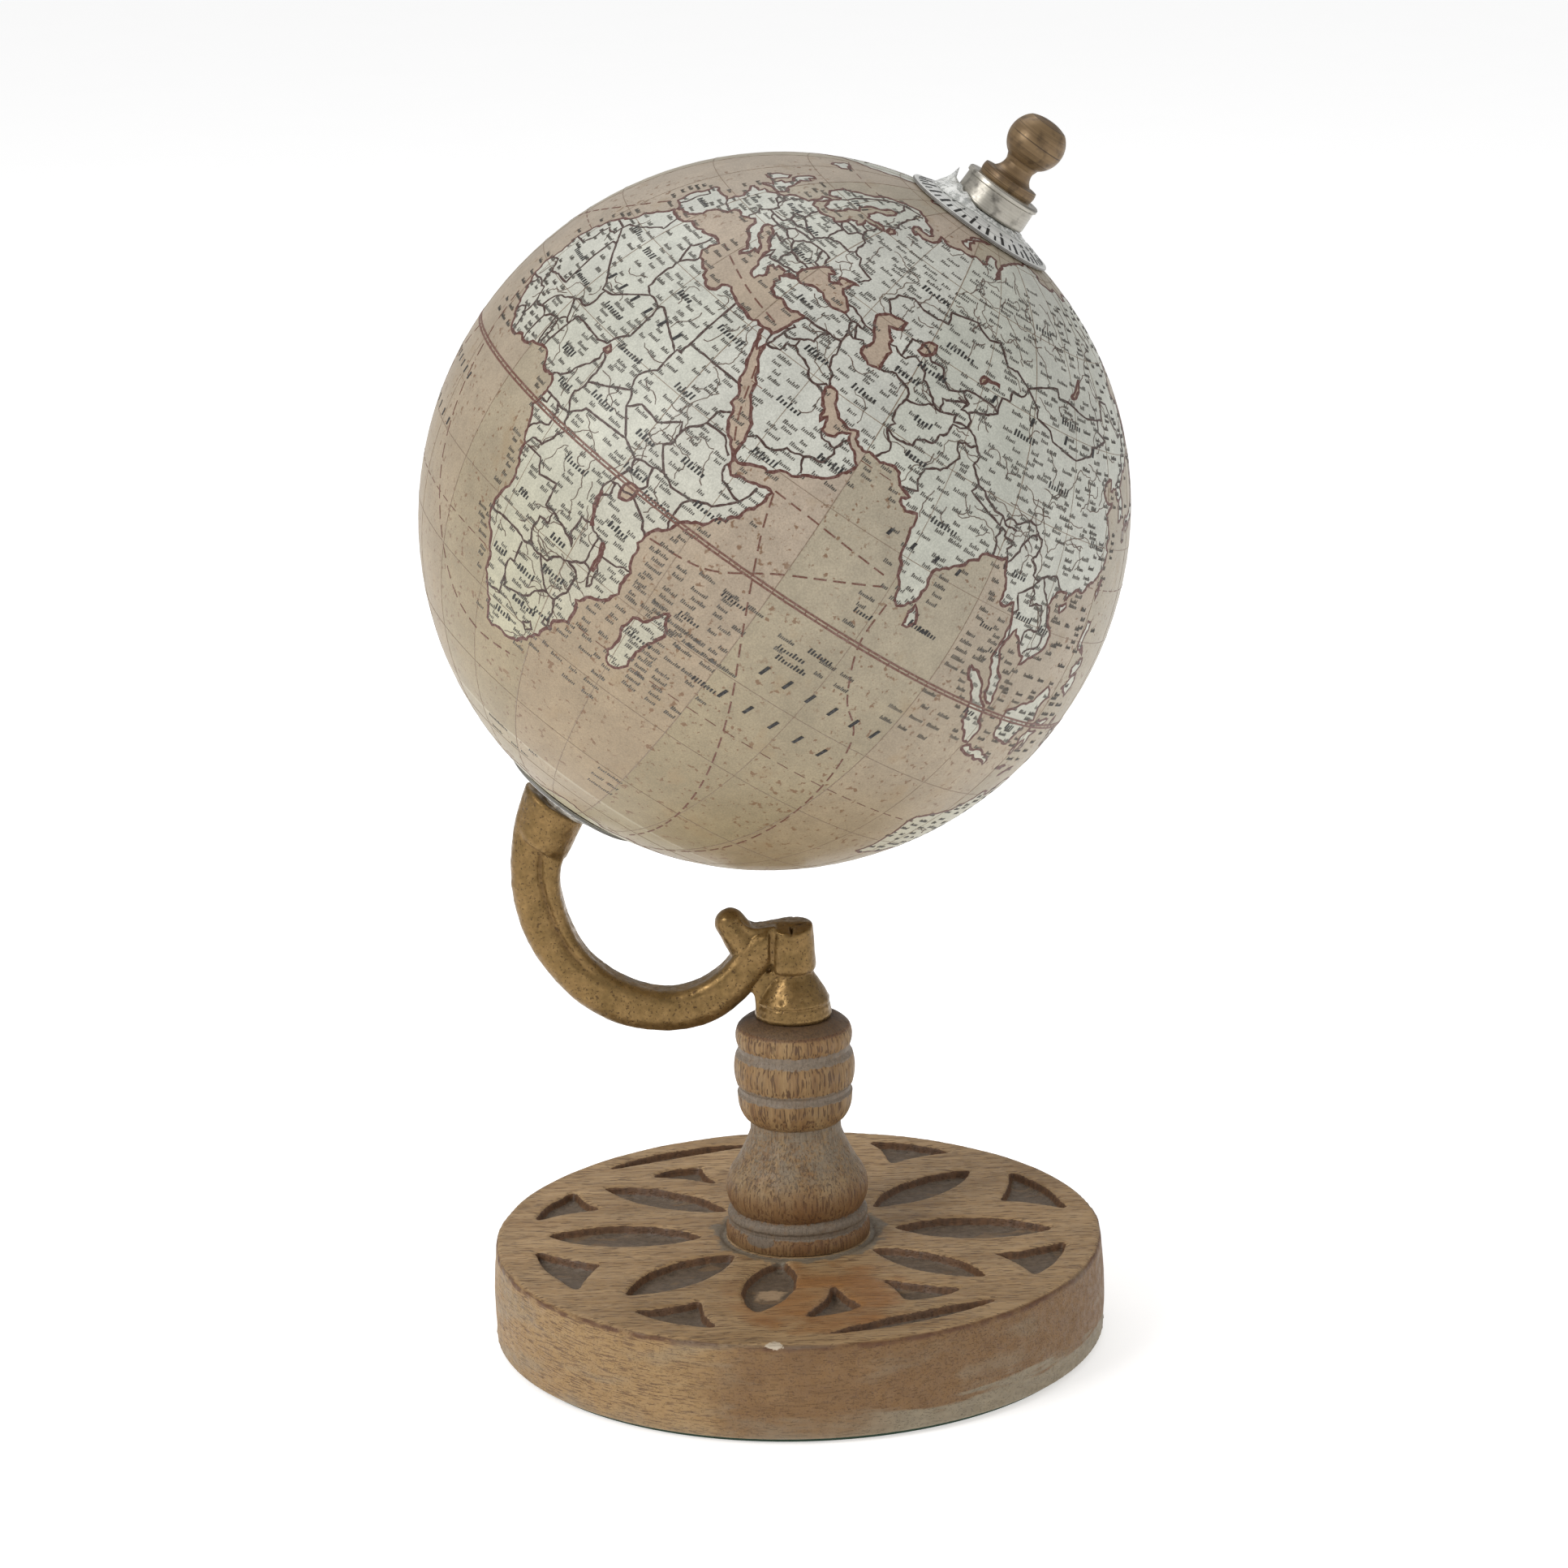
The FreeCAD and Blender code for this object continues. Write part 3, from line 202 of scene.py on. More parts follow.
# Open lines, one after another with a bar between them.
BORDERS = """-2.2,35.1 -1.2,32.3 -3.5,31 -5.5,29.8 -8.7,28.7 -8.7,26 -12,26 -12,23.4 -13,21.3 -17,21 |
    -8.7,27.6 -13,27.7 | -8.7,27.3 -4.8,25 -6.5,25 -5.5,16.3 -5.3,15.5 -9.3,15.4 -12,14.8 | -16.4,16.1
    -14,16.6 -12,14.8 -11.4,12.4 -13.7,12.6 -16.7,12.4 | -13.7,12.6 -13.7,11.7 -15,11 | -11.4,12.4 -9.3,12.4
    -8,10.2 -8.4,7.6 -9.5,8.4 -10.5,8 -11.5,6.9 | -8.4,7.6 -7.5,5.8 -7.5,4.4 | -4.8,25 1.2,21.1 3.3,19
    4.2,19.2 4.2,16.7 3.5,15.4 0.2,14.9 -2,14 -4,13.3 -5.3,11 -5.5,10.4 -8,10.2 | -2.8,9.7 -3.2,6.3 -2.9,5.1
    | -5.5,10.4 -2.8,9.7 0,11 0.9,11 2.4,12.2 0.2,14.9 | 0,11 0.5,8 1.2,6.1 | 0.9,11 1.6,9 1.6,6.3 | 2.4,12.2
    3.6,11.7 2.7,7.9 2.7,6.4 | 4.2,19.2 6,19.5 12,23.5 10,24.3 9.5,26.5 9.8,29 9.5,30.3 | 8.6,36.9 8.3,34.5
    7.5,33.5 9.5,30.3 11.5,32.3 11.5,33.2 | 12,23.5 15,23 16,23.5 24,19.5 24,20 25,20 25,22 25,31.6 | 15,23
    15.5,20.8 15.6,16.9 13.5,14.4 13.3,13.7 10.5,13.3 6,13.6 4.1,13.5 3.6,11.7 | 14,12.8 14.2,11.3 12.3,8.5
    11.3,6.6 8.6,4.8 | 14,12.8 15,12 15.5,10 15.5,7.5 14.6,5.2 16.2,2.2 13.3,2.2 9.8,2.3 | 24,19.5 24,15.7
    22.3,14 22,12.7 22.9,11 19,9 15.5,7.5 | 22.9,11 24,8.7 27.4,5 22.8,4.7 18.5,4.4 16.2,2.2 | 25,22 31.3,22
    36.9,22 | 38.6,18 36.9,17 36.4,14.4 35,12.7 34.1,10.6 34,8.6 33,7.9 35.3,5.2 35.9,4.6 | 36.4,14.4 40,14.5
    42.4,12.5 | 24,8.7 26,10.4 30,9.8 33.2,12.2 34.1,10.6 | 27.4,5 30.8,3.5 34,4.2 35.9,4.6 38.1,3.6 41.9,3.9
    41,2.8 41,-0.9 41.5,-1.7 | 34,4.2 35,1.5 34,0.3 | 30.8,3.5 31.2,2.2 29.6,-1.3 30.8,-1 34,-1 | 34,-1
    37.6,-3 39.2,-4.7 | 29.6,-1.3 29,-2.7 29.4,-4.4 30.7,-3.2 30.5,-1.1 | 41.9,3.9 45,5 48,8 47,8 44,9
    42.9,11 43.1,11.5 | 48,8 49,11.2 | 30.8,-8.3 32.9,-9.4 34,-9.6 | 34.6,-11.5 38,-11.3 40.4,-10.5 |
    11.3,2.2 11.4,1 9.8,1 | 13.3,2.2 14.3,0.5 14.4,-1.3 12.5,-2 11,-3.9 | 16.2,2.2 17.7,-0.5 16.2,-3
    15.3,-4.3 13,-4.5 12.3,-5.9 | 13,-5.9 16.5,-5.9 18,-8 21.8,-7.3 22,-11 24,-11 24,-13 | 11.8,-17.3
    14,-17.4 18.5,-17.4 21,-18 23.3,-17.6 22,-16.2 22,-13 24,-13 | 24,-11 27,-11.8 29.8,-13.4 28.4,-11.5
    28.7,-8.5 30.8,-8.3 | 23.3,-17.6 25.3,-17.8 27,-17.9 28.9,-15.9 30.4,-15.6 33,-14 33,-11.5 33,-9.4 |
    33,-14 34.6,-14.5 35.3,-17 35.9,-16 35.8,-14 34.6,-12 | 30.4,-15.6 32.9,-16.6 32.8,-20 31.3,-22.4 |
    25.3,-17.8 27.5,-20.5 29.4,-22.2 31.3,-22.4 32,-24.5 32,-26.8 32.8,-26.9 | 29.4,-22.2 26.8,-24.2
    25.3,-25.7 20.7,-26.8 20,-24.8 20,-22 21,-22 21,-18.3 | 20,-24.8 20,-28.4 17.4,-28.7 16.5,-28.6 |
    27,-29.6 28.6,-28.6 29.4,-29.6 28,-30.6 27,-29.6 | 31,-26.3 31.9,-25.9 32,-27.2 31,-27.2 31,-26.3 |
    34.3,31.3 34.9,29.4 | 35,29.4 35.5,31.5 35.7,32.7 36,33.8 | 35,29.4 37.5,30 37.5,31.5 39,32 42,31.1
    44.7,29.2 46.5,29.1 48.4,28.5 | 46.5,29.1 47.7,30.1 48,30 | 39,32 38.8,33.4 41,34.4 41.3,36.4 42.4,37.1 |
    36,35.9 36.7,36.8 38.8,36.7 42.4,37.1 44.8,37.2 | 35.1,33.1 36,33.6 36.5,34.4 35.9,34.6 | 35.7,32.7
    36.8,32.3 38.8,33.4 | 44.8,37.2 45.4,35.9 45.5,34 46.1,33 47.7,31.8 47.7,31 48.5,29.9 | 44.8,37.2
    44.4,39.6 43.6,41.1 41.5,41.5 | 44.4,39.6 46.2,38.8 48,39.6 48.9,38.4 | 43.6,41.1 46.5,41.1 46.3,41.9
    48.5,41.9 | 40,43.4 42.5,43.2 44.5,42.7 46.5,41.9 | 45,41.2 46.5,39 | 42.8,16.4 44,17.4 47,17 49,18.6
    52,19 | 52,19 55,20 55.7,22 55.2,22.7 52.6,22.9 51.6,24.1 | 52,19 53.1,16.7 | 55.2,22.7 55.8,24.3
    56.4,24.9 | 53.9,37.3 57,38.2 59.3,37.5 61.1,36.6 61.2,35.6 60.6,33.6 60.9,31.5 61.7,31.3 60.9,29.9
    62.8,28.3 63.2,27.2 61.6,25.2 | 60.9,29.9 64,29.4 66.3,29.9 66.4,31 69.3,31.9 70,33.8 71.1,34.4 71.5,36.4
    74.6,37.2 | 61.2,35.6 63,35.8 64.5,36.4 66.5,37.4 68,37 70,37.6 71.5,38.3 71.5,36.8 74.6,37.2 | 66.5,37.4
    64.5,38.9 62.3,40 61.9,41.2 60,42.2 58.5,42.7 57,41.3 56,41.3 56,45 58.6,45.6 61.1,44.4 62,43.5 65,43.7
    66.1,41.9 68,41 69,41.4 71,42.3 | 56,41.3 54,42.1 52.5,41.8 | 68,37 68,38.5 67.4,39.2 70.6,40.2 73.2,40.9
    71.8,39.3 73.8,39.3 | 71,42.3 73,41 70.5,40.9 | 71,42.3 73.5,43 79,42.8 80.2,42.2 80.3,45 82.5,45.2
    83,47.2 85.5,47.1 87.3,49.1 | 80.2,42.2 78,41 76,40.4 73.8,39.6 74.8,38.5 74.6,37.2 | 49.2,46.4 47,48.2
    46.5,48.5 47.5,50.4 51,51.7 54.5,50.9 58.7,51 61.5,51.4 61,53.9 69,55.3 71,54.2 73.5,53.5 77,54.3
    80.2,50.8 83.3,51 87.3,49.1 | 68.2,23.7 71,24.4 70,25.9 70.3,27.9 72.9,29 74.5,31 75.4,32.3 73.9,34.4
    76.8,34.8 77.8,35.5 76,36.8 74.6,37.2 | 77.8,35.5 79.2,34.3 78.5,32.5 81,30.2 84,28.9 86,28 88.1,27.9
    88.8,27.3 89.8,28.2 91.6,27.8 94.6,29.3 97.3,28.2 97.2,27 | 81,30.2 80.1,28.8 84.6,27.3 88.1,26.4
    88.1,27.9 | 88.8,27.3 89.7,26.8 92,26.9 | 89,21.9 88.9,23.2 88.1,24.5 88.6,26.3 89.8,25.9 89.8,25.3
    92.4,25 91.3,23.7 92.2,22 92.3,20.8 | 92.3,20.8 93.3,23 94.2,24.3 95.2,26.5 97.2,28 98.6,27.5 98.7,25.8
    97.5,24 99.3,23 99.2,22 101.1,21.6 | 101.1,21.6 100.1,20.3 97.4,18.5 98.9,16.3 98.2,15.1 99.6,11.8
    98.7,10.2 | 100.1,20.3 101.2,19.5 101.1,17.5 104,18.3 105.6,15.3 105.5,14.4 102.6,13.6 102.9,11.7 |
    102.1,22.4 103,20.8 105,19.2 107.5,15.5 107.5,12.3 105.9,11.6 104.5,10.4 | 101.1,21.6 102.1,22.4
    105.3,23.3 108,21.5 | 87.3,49.1 88,48.6 91,46.5 91,45.1 95.4,44.2 96.4,42.7 105,41.6 111,43.3 111.9,44.9
    115,45.5 119.8,46.7 116,47.8 116.7,49.8 | 87.3,49.1 92,50.7 98,52 98.3,50.5 102.3,50.6 107,49.7 111,49.3
    116.7,49.8 | 116.7,49.8 119.3,50 120.8,53.3 125.6,53 127.6,49.8 130.8,48.9 130.9,47.7 134.8,48.4
    133.1,45.1 131,44.9 130.7,42.4 | 124.4,40 126.9,41.7 129.9,43 130.7,42.4 | 126.7,37.8 128.4,38.6 |
    -1.8,43.4 0.7,42.7 3.2,42.4 | -7.4,37.2 -7,39 -6.9,41 -6.6,41.9 -8.8,42 | 2.5,51 4.2,49.9 6.3,49.5 8.2,49
    7.6,47.6 6,46.3 7,45.9 7,44.2 7.5,43.8 | 6.3,49.5 6,50.8 3.4,51.4 | 6,50.8 7,53.3 | 8.6,54.9 9.9,54.8 |
    14.2,53.9 14.6,51 12.2,50.3 13.8,48.8 13,47.6 9.6,47.5 7.6,47.6 | 14.6,51 18.8,49.5 22.6,49.1 | 9.6,47.5
    10.4,46.7 13.7,46.5 16.1,46.8 17.1,48 | 13.8,48.8 17,48.7 18.8,49.5 | 17.1,48 20.5,48.4 22.2,48.4
    22.6,49.1 | 13.7,46.5 13.6,45.7 | 16.1,46.8 18.8,45.9 20.3,46.1 21.5,47.3 22.9,48 | 18.8,45.9 19.1,44.5
    15.8,45.2 16.5,43.9 18.5,42.5 | 20.3,46.1 21.4,44.9 22.7,44.2 25.5,43.7 28.6,43.8 | 22.7,44.2 22.4,42.3
    23,41.3 26.3,41.7 28,42 | 20.5,41.5 21,40.9 23,41.3 | 26.3,41.7 26,40.8 | 19.4,41.9 20,42.6 20.5,41.5
    20,39.7 | 22.9,48 26.6,48.2 28.2,45.5 29.7,45.3 | 26.6,48.2 29.2,47.9 30,46.4 | 22.6,49.1 24,50.8
    23.6,52.5 23.8,54 22.8,54.4 19.8,54.4 | 24,50.8 27,51.6 30.6,51.3 31.8,52.1 34.1,51.8 35.4,50.4 40,49.6
    38.3,47.6 | 21.2,55.3 22.8,54.4 25.7,54.2 26.6,55.7 23.8,56.3 21.1,56 | 26.6,55.7 28.2,56.2 27.4,57.5
    24.4,57.9 | 27.4,57.5 28,59.4 | 28.2,56.2 30.8,55 31,53.2 31.8,52.1 | 27.8,60.6 31.5,62.8 29.8,64.8
    30,67.7 28.5,69 31,69.6 | 24.2,65.8 23.7,67.9 20.6,69 29,69.9 | 20.6,69 18,68.4 14.5,65.5 12,61.7 12.2,60
    11.2,59 | -123,49 -95,49 -89,48 -83,46 -82.5,42 -79,43.4 -75,45 -71,45.2 -67,47 -67,45 | -141,69.6
    -141,60.3 -130,55.5 | -117,32.5 -111,31.3 -106.5,31.8 -103,29 -101,29.8 -97.2,25.9 | -92.2,14.6 -91,17.8
    -89,17.9 | -78.8,1.4 -75.2,-0.1 -70,-4.2 -69.5,1.7 -67,1.2 -67.5,6.2 -72.4,7.4 -71.3,11.8 | -67,1.2 -64,2
    -60.6,5.2 -60,8 | -60.6,5.2 -56.5,2 -51.6,4.2 | -70,-4.2 -73.8,-7.3 -70.5,-9.5 -69.5,-11 -65.3,-10
    -60,-13.5 -58,-16.5 -57.7,-20 -55.8,-22.3 -54.3,-24.2 -54.6,-25.6 -53.8,-27.2 -57.6,-30.2 -58.2,-34 |
    -69.5,-11 -69.5,-17.5 -67,-22.8 -62.8,-22 -58,-20 | -67,-22.8 -70,-27 -70,-33 -71.8,-40 -72,-47
    -72.3,-50.7 -68.5,-52.3 | -80.3,-3.4 -75.2,-0.1"""

RIVERS = """31.2,31.3 30.9,29 32.8,26 32.9,24 31,21.5 33.9,19.4 32.5,15.6 31.6,12 31.5,9.4 30.5,7.3 31.7,4
    31.3,2 33,0.4 | 32.5,15.6 34.4,11.5 37,10.5 37.3,12 | 6,4.4 6.7,7.8 4.5,11 3,13 0,16.9 -3,16.7 -6,13.7
    -10,10 | 12.4,-6 15.3,-4.3 18,0.5 22,2.2 25.2,0.5 26,-5 27,-10 | 36,-18.6 33,-16.5 29,-15.8 25.5,-17.9
    23,-15 23.5,-12 | 16.5,-28.6 20,-28.6 24,-29 28,-30 | 48.5,30 46,32.5 44.4,33.4 42.5,36.5 40,38 | 46.5,31
    42,34.2 38.2,36 39.5,39.5 | 67.4,24 68.8,27.8 71,30 72,33.8 75,35.2 80,32.5 | 90,23 86,25.3 82,25.4 79,28
    | 90,24.5 91,26.2 95,27.8 94,29.3 88,29.4 83,30 | 47.8,46 44.6,48.6 47,52 49,55.5 44,56.3 38,57.5 |
    72,66.5 66,64 68,61 77,61 83,56 85,52.5 | 69,61 69,58 74,55 80,50.5 85,47.8 | 83,70 87,66 90,61 92.5,56
    95,52 | 127,72 124,66 129.5,63 120,60.5 108,55 | 121.5,31.5 116,30 111,30.6 106.5,29.5 101,26 99,28.5
    97,33 91,34 | 119,37.7 113.5,35 110.4,35 111,40 107,40.5 104,37 101,35.5 96,35 | 106.5,10 105.8,15 102,18
    100,21 98.5,27 95,33 | 141,53 137,50 131,47.8 127,50 121,53 | 29.5,45.2 27,44.1 22,44.6 19,45.5 19,47.7
    13,48.5 9,48 | 32,46.6 35,48.5 31,50.5 31,54 | -50,-0.5 -55,-2.2 -62,-3.5 -70,-4 -74,-5 | -89.3,29.3
    -91,33 -89.5,37.5 -91,42 -94.5,47 | 61,46 65,44.5 68,41.5 72,41 | 59.5,43.6 62,40.5 66,37.6 70,37.5 |
    -16.4,16 -12,14.8 -10.5,12 | 33.4,-25 31,-22.3 27,-23 | 51.5,47 51.5,51.5 59,53"""

SEA_ROUTES = """51.5,12.4 60,12 73,11 | 40,-4.5 50,-3 60,3 74,9.5 | 51.5,12 54,5 60,-8 66,-20 72,-35 76,-50
    78,-64 | 76,7.5 76,0 80,-8 86,-14 90,-30 92,-50 90,-64 | 43.6,12.2 40,17.5 36.2,26 33,30 | -17,12 -14,0
    -8,-20 4,-34 15,-38 26,-37 | -10,36 -20,28 -40,18 | -22,0 -30,-12 -36,-26 | 33,33 24,34.5 12,37.5"""

# Where the large country names stand, the still larger continent names, and the islands' names.
COUNTRY_NAMES = """3,28 17,27 9,18 18,15 30,16 29,27 39,8 45,4 37.5,0.5 35,-6.5 23,-3 12,5 20,7 30,7 32,2
    17,-12 27,-14 17,-22 24,-22 22,-31 29,-19 45,24 47,15.5 56,20.5 54,32.5 43,33 34,39 67,48 63,42 59,39
    66,34 68,28.5 78,22 83,7 100,36 103,47 96,21 101,15.5 8,9 -3,18 -10,20 95,62 55,55 25,45 10,51 20,50 2,47
    -4,40 16,61 107,15 113,-1 101,-1 115,30 88,41 -5,29 26,-27 -60,-10 -65,-35 -100,40 -105,60 135,-25
    -100,23"""


# ---------------------------------------------------------------- places that the frame gives
spin = next(joint for joint in frame["joints"] if joint["name"] == "globe_spin")
CENTRE = Vector(spin["pos_m"])
AXIS = Vector(spin["axis"]).normalized()
FRONT = Vector((0.0, -1.0, 0.0))
LOW_SIDE = FRONT.cross(AXIS).normalized() * -1          # across the axis, leaning down to +X
BEHIND = AXIS.cross(LOW_SIDE).normalized()


def along_and_off(point):
    """How far a point is along the globe's axis, and how far off it."""
    arm = point - CENTRE
    along = arm.dot(AXIS)
    return along, (arm - AXIS * along).length


gore_points = [along_and_off(v.co) for v in NODES["map_gore_01"].data.vertices]
PRINT_HEIGHT = 0.05 * MM                                # the ink stands this far under the CAD surface
EQUATOR = max(off for _, off in gore_points) - PRINT_HEIGHT
BUSH_HOLE = min(off for _, off in gore_points)
gore_end = max(along for along, _ in gore_points)
POLE = gore_end / math.sqrt(1 - (BUSH_HOLE / (EQUATOR + PRINT_HEIGHT)) ** 2) - PRINT_HEIGHT
LAST_LATITUDE = math.degrees(math.acos(BUSH_HOLE / EQUATOR))
PAPER = 0.18 * MM
GORE = 30                                               # degrees of longitude
GREENWICH = -150.6                                      # the first gore's seam, round the axis


def on_ball(lon, lat, height=0.0):
    """Place on the printed ball, a given height over the paper."""
    turn = math.radians(lon + GREENWICH)
    rise = math.radians(lat)
    spoke = LOW_SIDE * math.cos(turn) + BEHIND * math.sin(turn)
    off = (EQUATOR + height) * math.cos(rise)
    return CENTRE + spoke * off + AXIS * ((POLE + height) * math.sin(rise))


def ball_normal(point):
    arm = point - CENTRE
    along = arm.dot(AXIS)
    spoke = arm - AXIS * along
    return (spoke / EQUATOR**2 + AXIS * (along / POLE**2)).normalized()


# ---------------------------------------------------------------- mesh helpers
class Shape:
    """Points and faces of one piece while it is being made."""

    def __init__(self):
        self.points = []
        self.faces = []

    def ring_of_quads(self, first, second):
        count = len(first)
        for i in range(count):
            j = (i + 1) % count
            self.faces.append((first[i], first[j], second[j], second[i]))

    def add(self, points):
        start = len(self.points)
        self.points.extend(points)
        return list(range(start, len(self.points)))

    def band(self, sections):
        """Solid through four-cornered sections, closed at both ends."""
        rings = [self.add(section) for section in sections]
        for before, after in zip(rings, rings[1:]):
            self.ring_of_quads(before, after)
        self.faces.append(tuple(reversed(rings[0])))
        self.faces.append(tuple(rings[-1]))


def in_scene(name, data):
    made = bpy.data.objects.new(name, data)
    bpy.context.scene.collection.objects.link(made)
    return made


def new_piece(name, shape, body, materials, smooth=False):
    mesh = bpy.data.meshes.new(name)
    mesh.from_pydata(shape.points, [], shape.faces)
    mesh.validate()
    if smooth:
        mesh.shade_smooth()
    piece = in_scene(name, mesh)
    for material in materials:
        mesh.materials.append(material)
    outward_faces(mesh)
    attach(piece, body)
    return piece


def outward_faces(mesh):
    shape = bmesh.new()
    shape.from_mesh(mesh)
    bmesh.ops.recalc_face_normals(shape, faces=shape.faces)
    shape.to_mesh(mesh)
    shape.free()


# ---------------------------------------------------------------- outlines
def places(text):
    return [tuple(float(number) for number in place.split(",")) for place in text.split()]


def lines(text):
    return [places(line) for line in text.split("|")]


def between(a, b, draw, step, swing):
    """Points from a to b, moved sideways by a seeded amount, without the ends."""
    narrow = max(0.2, math.cos(math.radians((a[1] + b[1]) / 2)))
    across = (b[0] - a[0]) * narrow
    up = b[1] - a[1]
    if math.hypot(across, up) < step:
        return []
    shift = draw.uniform(-swing, swing)
    middle = ((a[0] + b[0]) / 2 - shift * up / narrow, (a[1] + b[1]) / 2 + shift * across)
    return between(a, middle, draw, step, swing) + [middle] + between(middle, b, draw, step, swing)


def roughened(points, draw, closed=False, step=1.0, swing=0.17, straight=360.0):
    """A line with small bends. Its runs that are longer than the straight length stay nearly straight."""
    made = []
    followers = points[1:] + points[:1] if closed else points[1:]
    for a, b in zip(points, followers):
        ruled = math.hypot(b[0] - a[0], b[1] - a[1]) > straight
        made.append(a)
        made.extend(between(a, b, draw, step, swing * (0.15 if ruled else 1.0)))
    if not closed:
        made.append(points[-1])
    return made


coast_draw = random.Random(7)
COAST_LINES = {name: roughened(places(text), coast_draw, True) for name, text in COASTS.items()}
LAKE_LINES = {name: roughened(places(text), coast_draw, True, 0.9, 0.12) for name, text in LAKES.items()}
SEA_AREAS = {name: places(text) for name, text in DARK_SEAS.items()}


def inside_any(outlines):
    """Test for a place, by the number of sides that cross a line to its east."""
    starts = np.array([p for line in outlines for p in line])
    ends = np.array([p for line in outlines for p in line[1:] + line[:1]])

    def test(lon, lat):
        spans = (starts[:, 1] > lat) != (ends[:, 1] > lat)
        a, b = starts[spans], ends[spans]
        crossing = a[:, 0] + (lat - a[:, 1]) * (b[:, 0] - a[:, 0]) / (b[:, 1] - a[:, 1])
        return int((crossing > lon).sum()) % 2 == 1

    return test


on_coast_side = inside_any(list(COAST_LINES.values()))
in_lake = inside_any(list(LAKE_LINES.values()))
in_dark_sea = inside_any(list(SEA_AREAS.values()))


def on_land(lon, lat):
    return on_coast_side(lon, lat) and not in_lake(lon, lat)


# ---------------------------------------------------------------- the printed gores
OCEAN, LAND, SEA = range(3)
COLUMN_STEP = 3                                         # degrees between the mesh's columns
ROWS = 28                                               # rows of the mesh from the equator to a pole
LONGEST_SIDE = 4.6                                      # in degrees


def shifted(points, turn):
    return [(lon + turn, lat) for lon, lat in points]


def short_sided(flat, triangles):
    """The same triangles, halved until no side is long enough to cut into the ball."""
    flat = list(flat)
    for _ in range(4):
        middles = {}
        made = []
        for triangle in triangles:
            split = []
            for i, j in zip(triangle, (*triangle[1:], triangle[0])):
                side = (min(i, j), max(i, j))
                if side not in middles and (flat[i] - flat[j]).length > LONGEST_SIDE:
                    middles[side] = len(flat)
                    flat.append((flat[i] + flat[j]) / 2)
                split.append(middles.get(side))
            made += halved(triangle, split)
        triangles = made
    return flat, triangles


def halved(corners, split):
    """Triangles that meet a triangle's split sides. The first side is from corner 0 to 1."""
    for turn in range(3):
        a, b, c = corners[turn:] + corners[:turn]
        ab, bc, ca = split[turn:] + split[:turn]
        if ab is None and bc is None and ca is None:
            return [(a, b, c)]
        if None not in (ab, bc, ca):
            return [(a, ab, ca), (ab, b, bc), (ca, bc, c), (ab, bc, ca)]
        if ab is not None and bc is None and ca is None:
            return [(a, ab, c), (ab, b, c)]
        if ab is not None and bc is not None and ca is None:
            return [(ab, b, bc), (a, ab, bc), (a, bc, c)]
    return [tuple(corners)]


def map_triangles():
    """Triangles over the whole map, and whether each is ocean, land or a dark sea."""
    spots = []
    edges = []

    def outline(points):
        start, count = len(spots), len(points)
        spots.extend(points)
        edges.extend((start + i, start + (i + 1) % count) for i in range(count))

    for name, points in COAST_LINES.items():
        outline(points)
        if name in ("eurasia", "antarctica"):
            outline(shifted(points, -360))
    for points in [*SEA_AREAS.values(), *LAKE_LINES.values()]:
        outline(points)
    for lon in range(-180, 181, COLUMN_STEP):
        for row in range(-ROWS, ROWS + 1):
            lat = LAST_LATITUDE * row / ROWS
            spots.append((float(lon), lat))
            if row > -ROWS and lon % GORE == 0:
                edges.append((len(spots) - 2, len(spots) - 1))
    result = geometry.delaunay_2d_cdt([Vector(p) for p in spots], edges, [], 0, 1e-5)
    flat, triangles = short_sided(result[0], result[2])
    made = []
    for triangle in triangles:
        middle = sum((flat[i] for i in triangle), Vector((0, 0))) / 3
        if abs(middle.x) > 180 or abs(middle.y) > LAST_LATITUDE:
            continue
        if on_coast_side(middle.x, middle.y) or on_coast_side(middle.x + 360, middle.y):
            kind = SEA if in_lake(middle.x, middle.y) else LAND
        else:
            kind = SEA if in_dark_sea(middle.x, middle.y) else OCEAN
        made.append((triangle, kind, int((middle.x % 360) // GORE)))
    return flat, made


def gore_piece(index, flat, triangles, materials):
    """One paper gore with its thickness. The tint of each gore differs a little."""
    used = sorted({i for triangle, _ in triangles for i in triangle})
    place_of = {old: new for new, old in enumerate(used)}
    count = len(used)
    spots = [(flat[i].x, max(-LAST_LATITUDE, min(LAST_LATITUDE, flat[i].y))) for i in used]
    shape = Shape()
    for depth in (0.0, PAPER):
        shape.add([on_ball(lon, lat, -depth) for lon, lat in spots])
    kinds = []
    sides = {}
    for triangle, kind in triangles:
        a, b, c = (place_of[i] for i in triangle)
        shape.faces.append((a, b, c))
        shape.faces.append((c + count, b + count, a + count))
        kinds += [kind, kind]
        for start, end in ((a, b), (b, c), (c, a)):
            sides[(start, end)] = kind
    for (start, end), kind in sides.items():
        if (end, start) not in sides:
            shape.faces.append((start, start + count, end + count, end))
            kinds.append(kind)
    name = f"map_gore_{index + 1:02d}"
    piece = new_piece(name + "_print", shape, "globe", materials, True)
    mesh = piece.data
    for polygon, kind in zip(mesh.polygons, kinds):
        polygon.material_index = kind
    normals = []
    for loop in mesh.loops:
        point = mesh.vertices[loop.vertex_index].co
        outer = loop.vertex_index < count
        normals.append(ball_normal(point) if outer else -ball_normal(point))
    mesh.normals_split_custom_set(normals)
    tint = mesh.attributes.new("gore_tint", "FLOAT", "POINT")
    tint.data.foreach_set("value", [GORE_TINTS[index]] * len(mesh.vertices))
    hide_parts(name)


# From 0, yellow and darker, to 1, pink and lighter, eastwards from Greenwich.
GORE_TINTS = [0.4, 1.0, 0.25, 0.7, 0.3, 0.6, 0.2, 0.7, 0.4, 0.6, 0.2, 0.8]


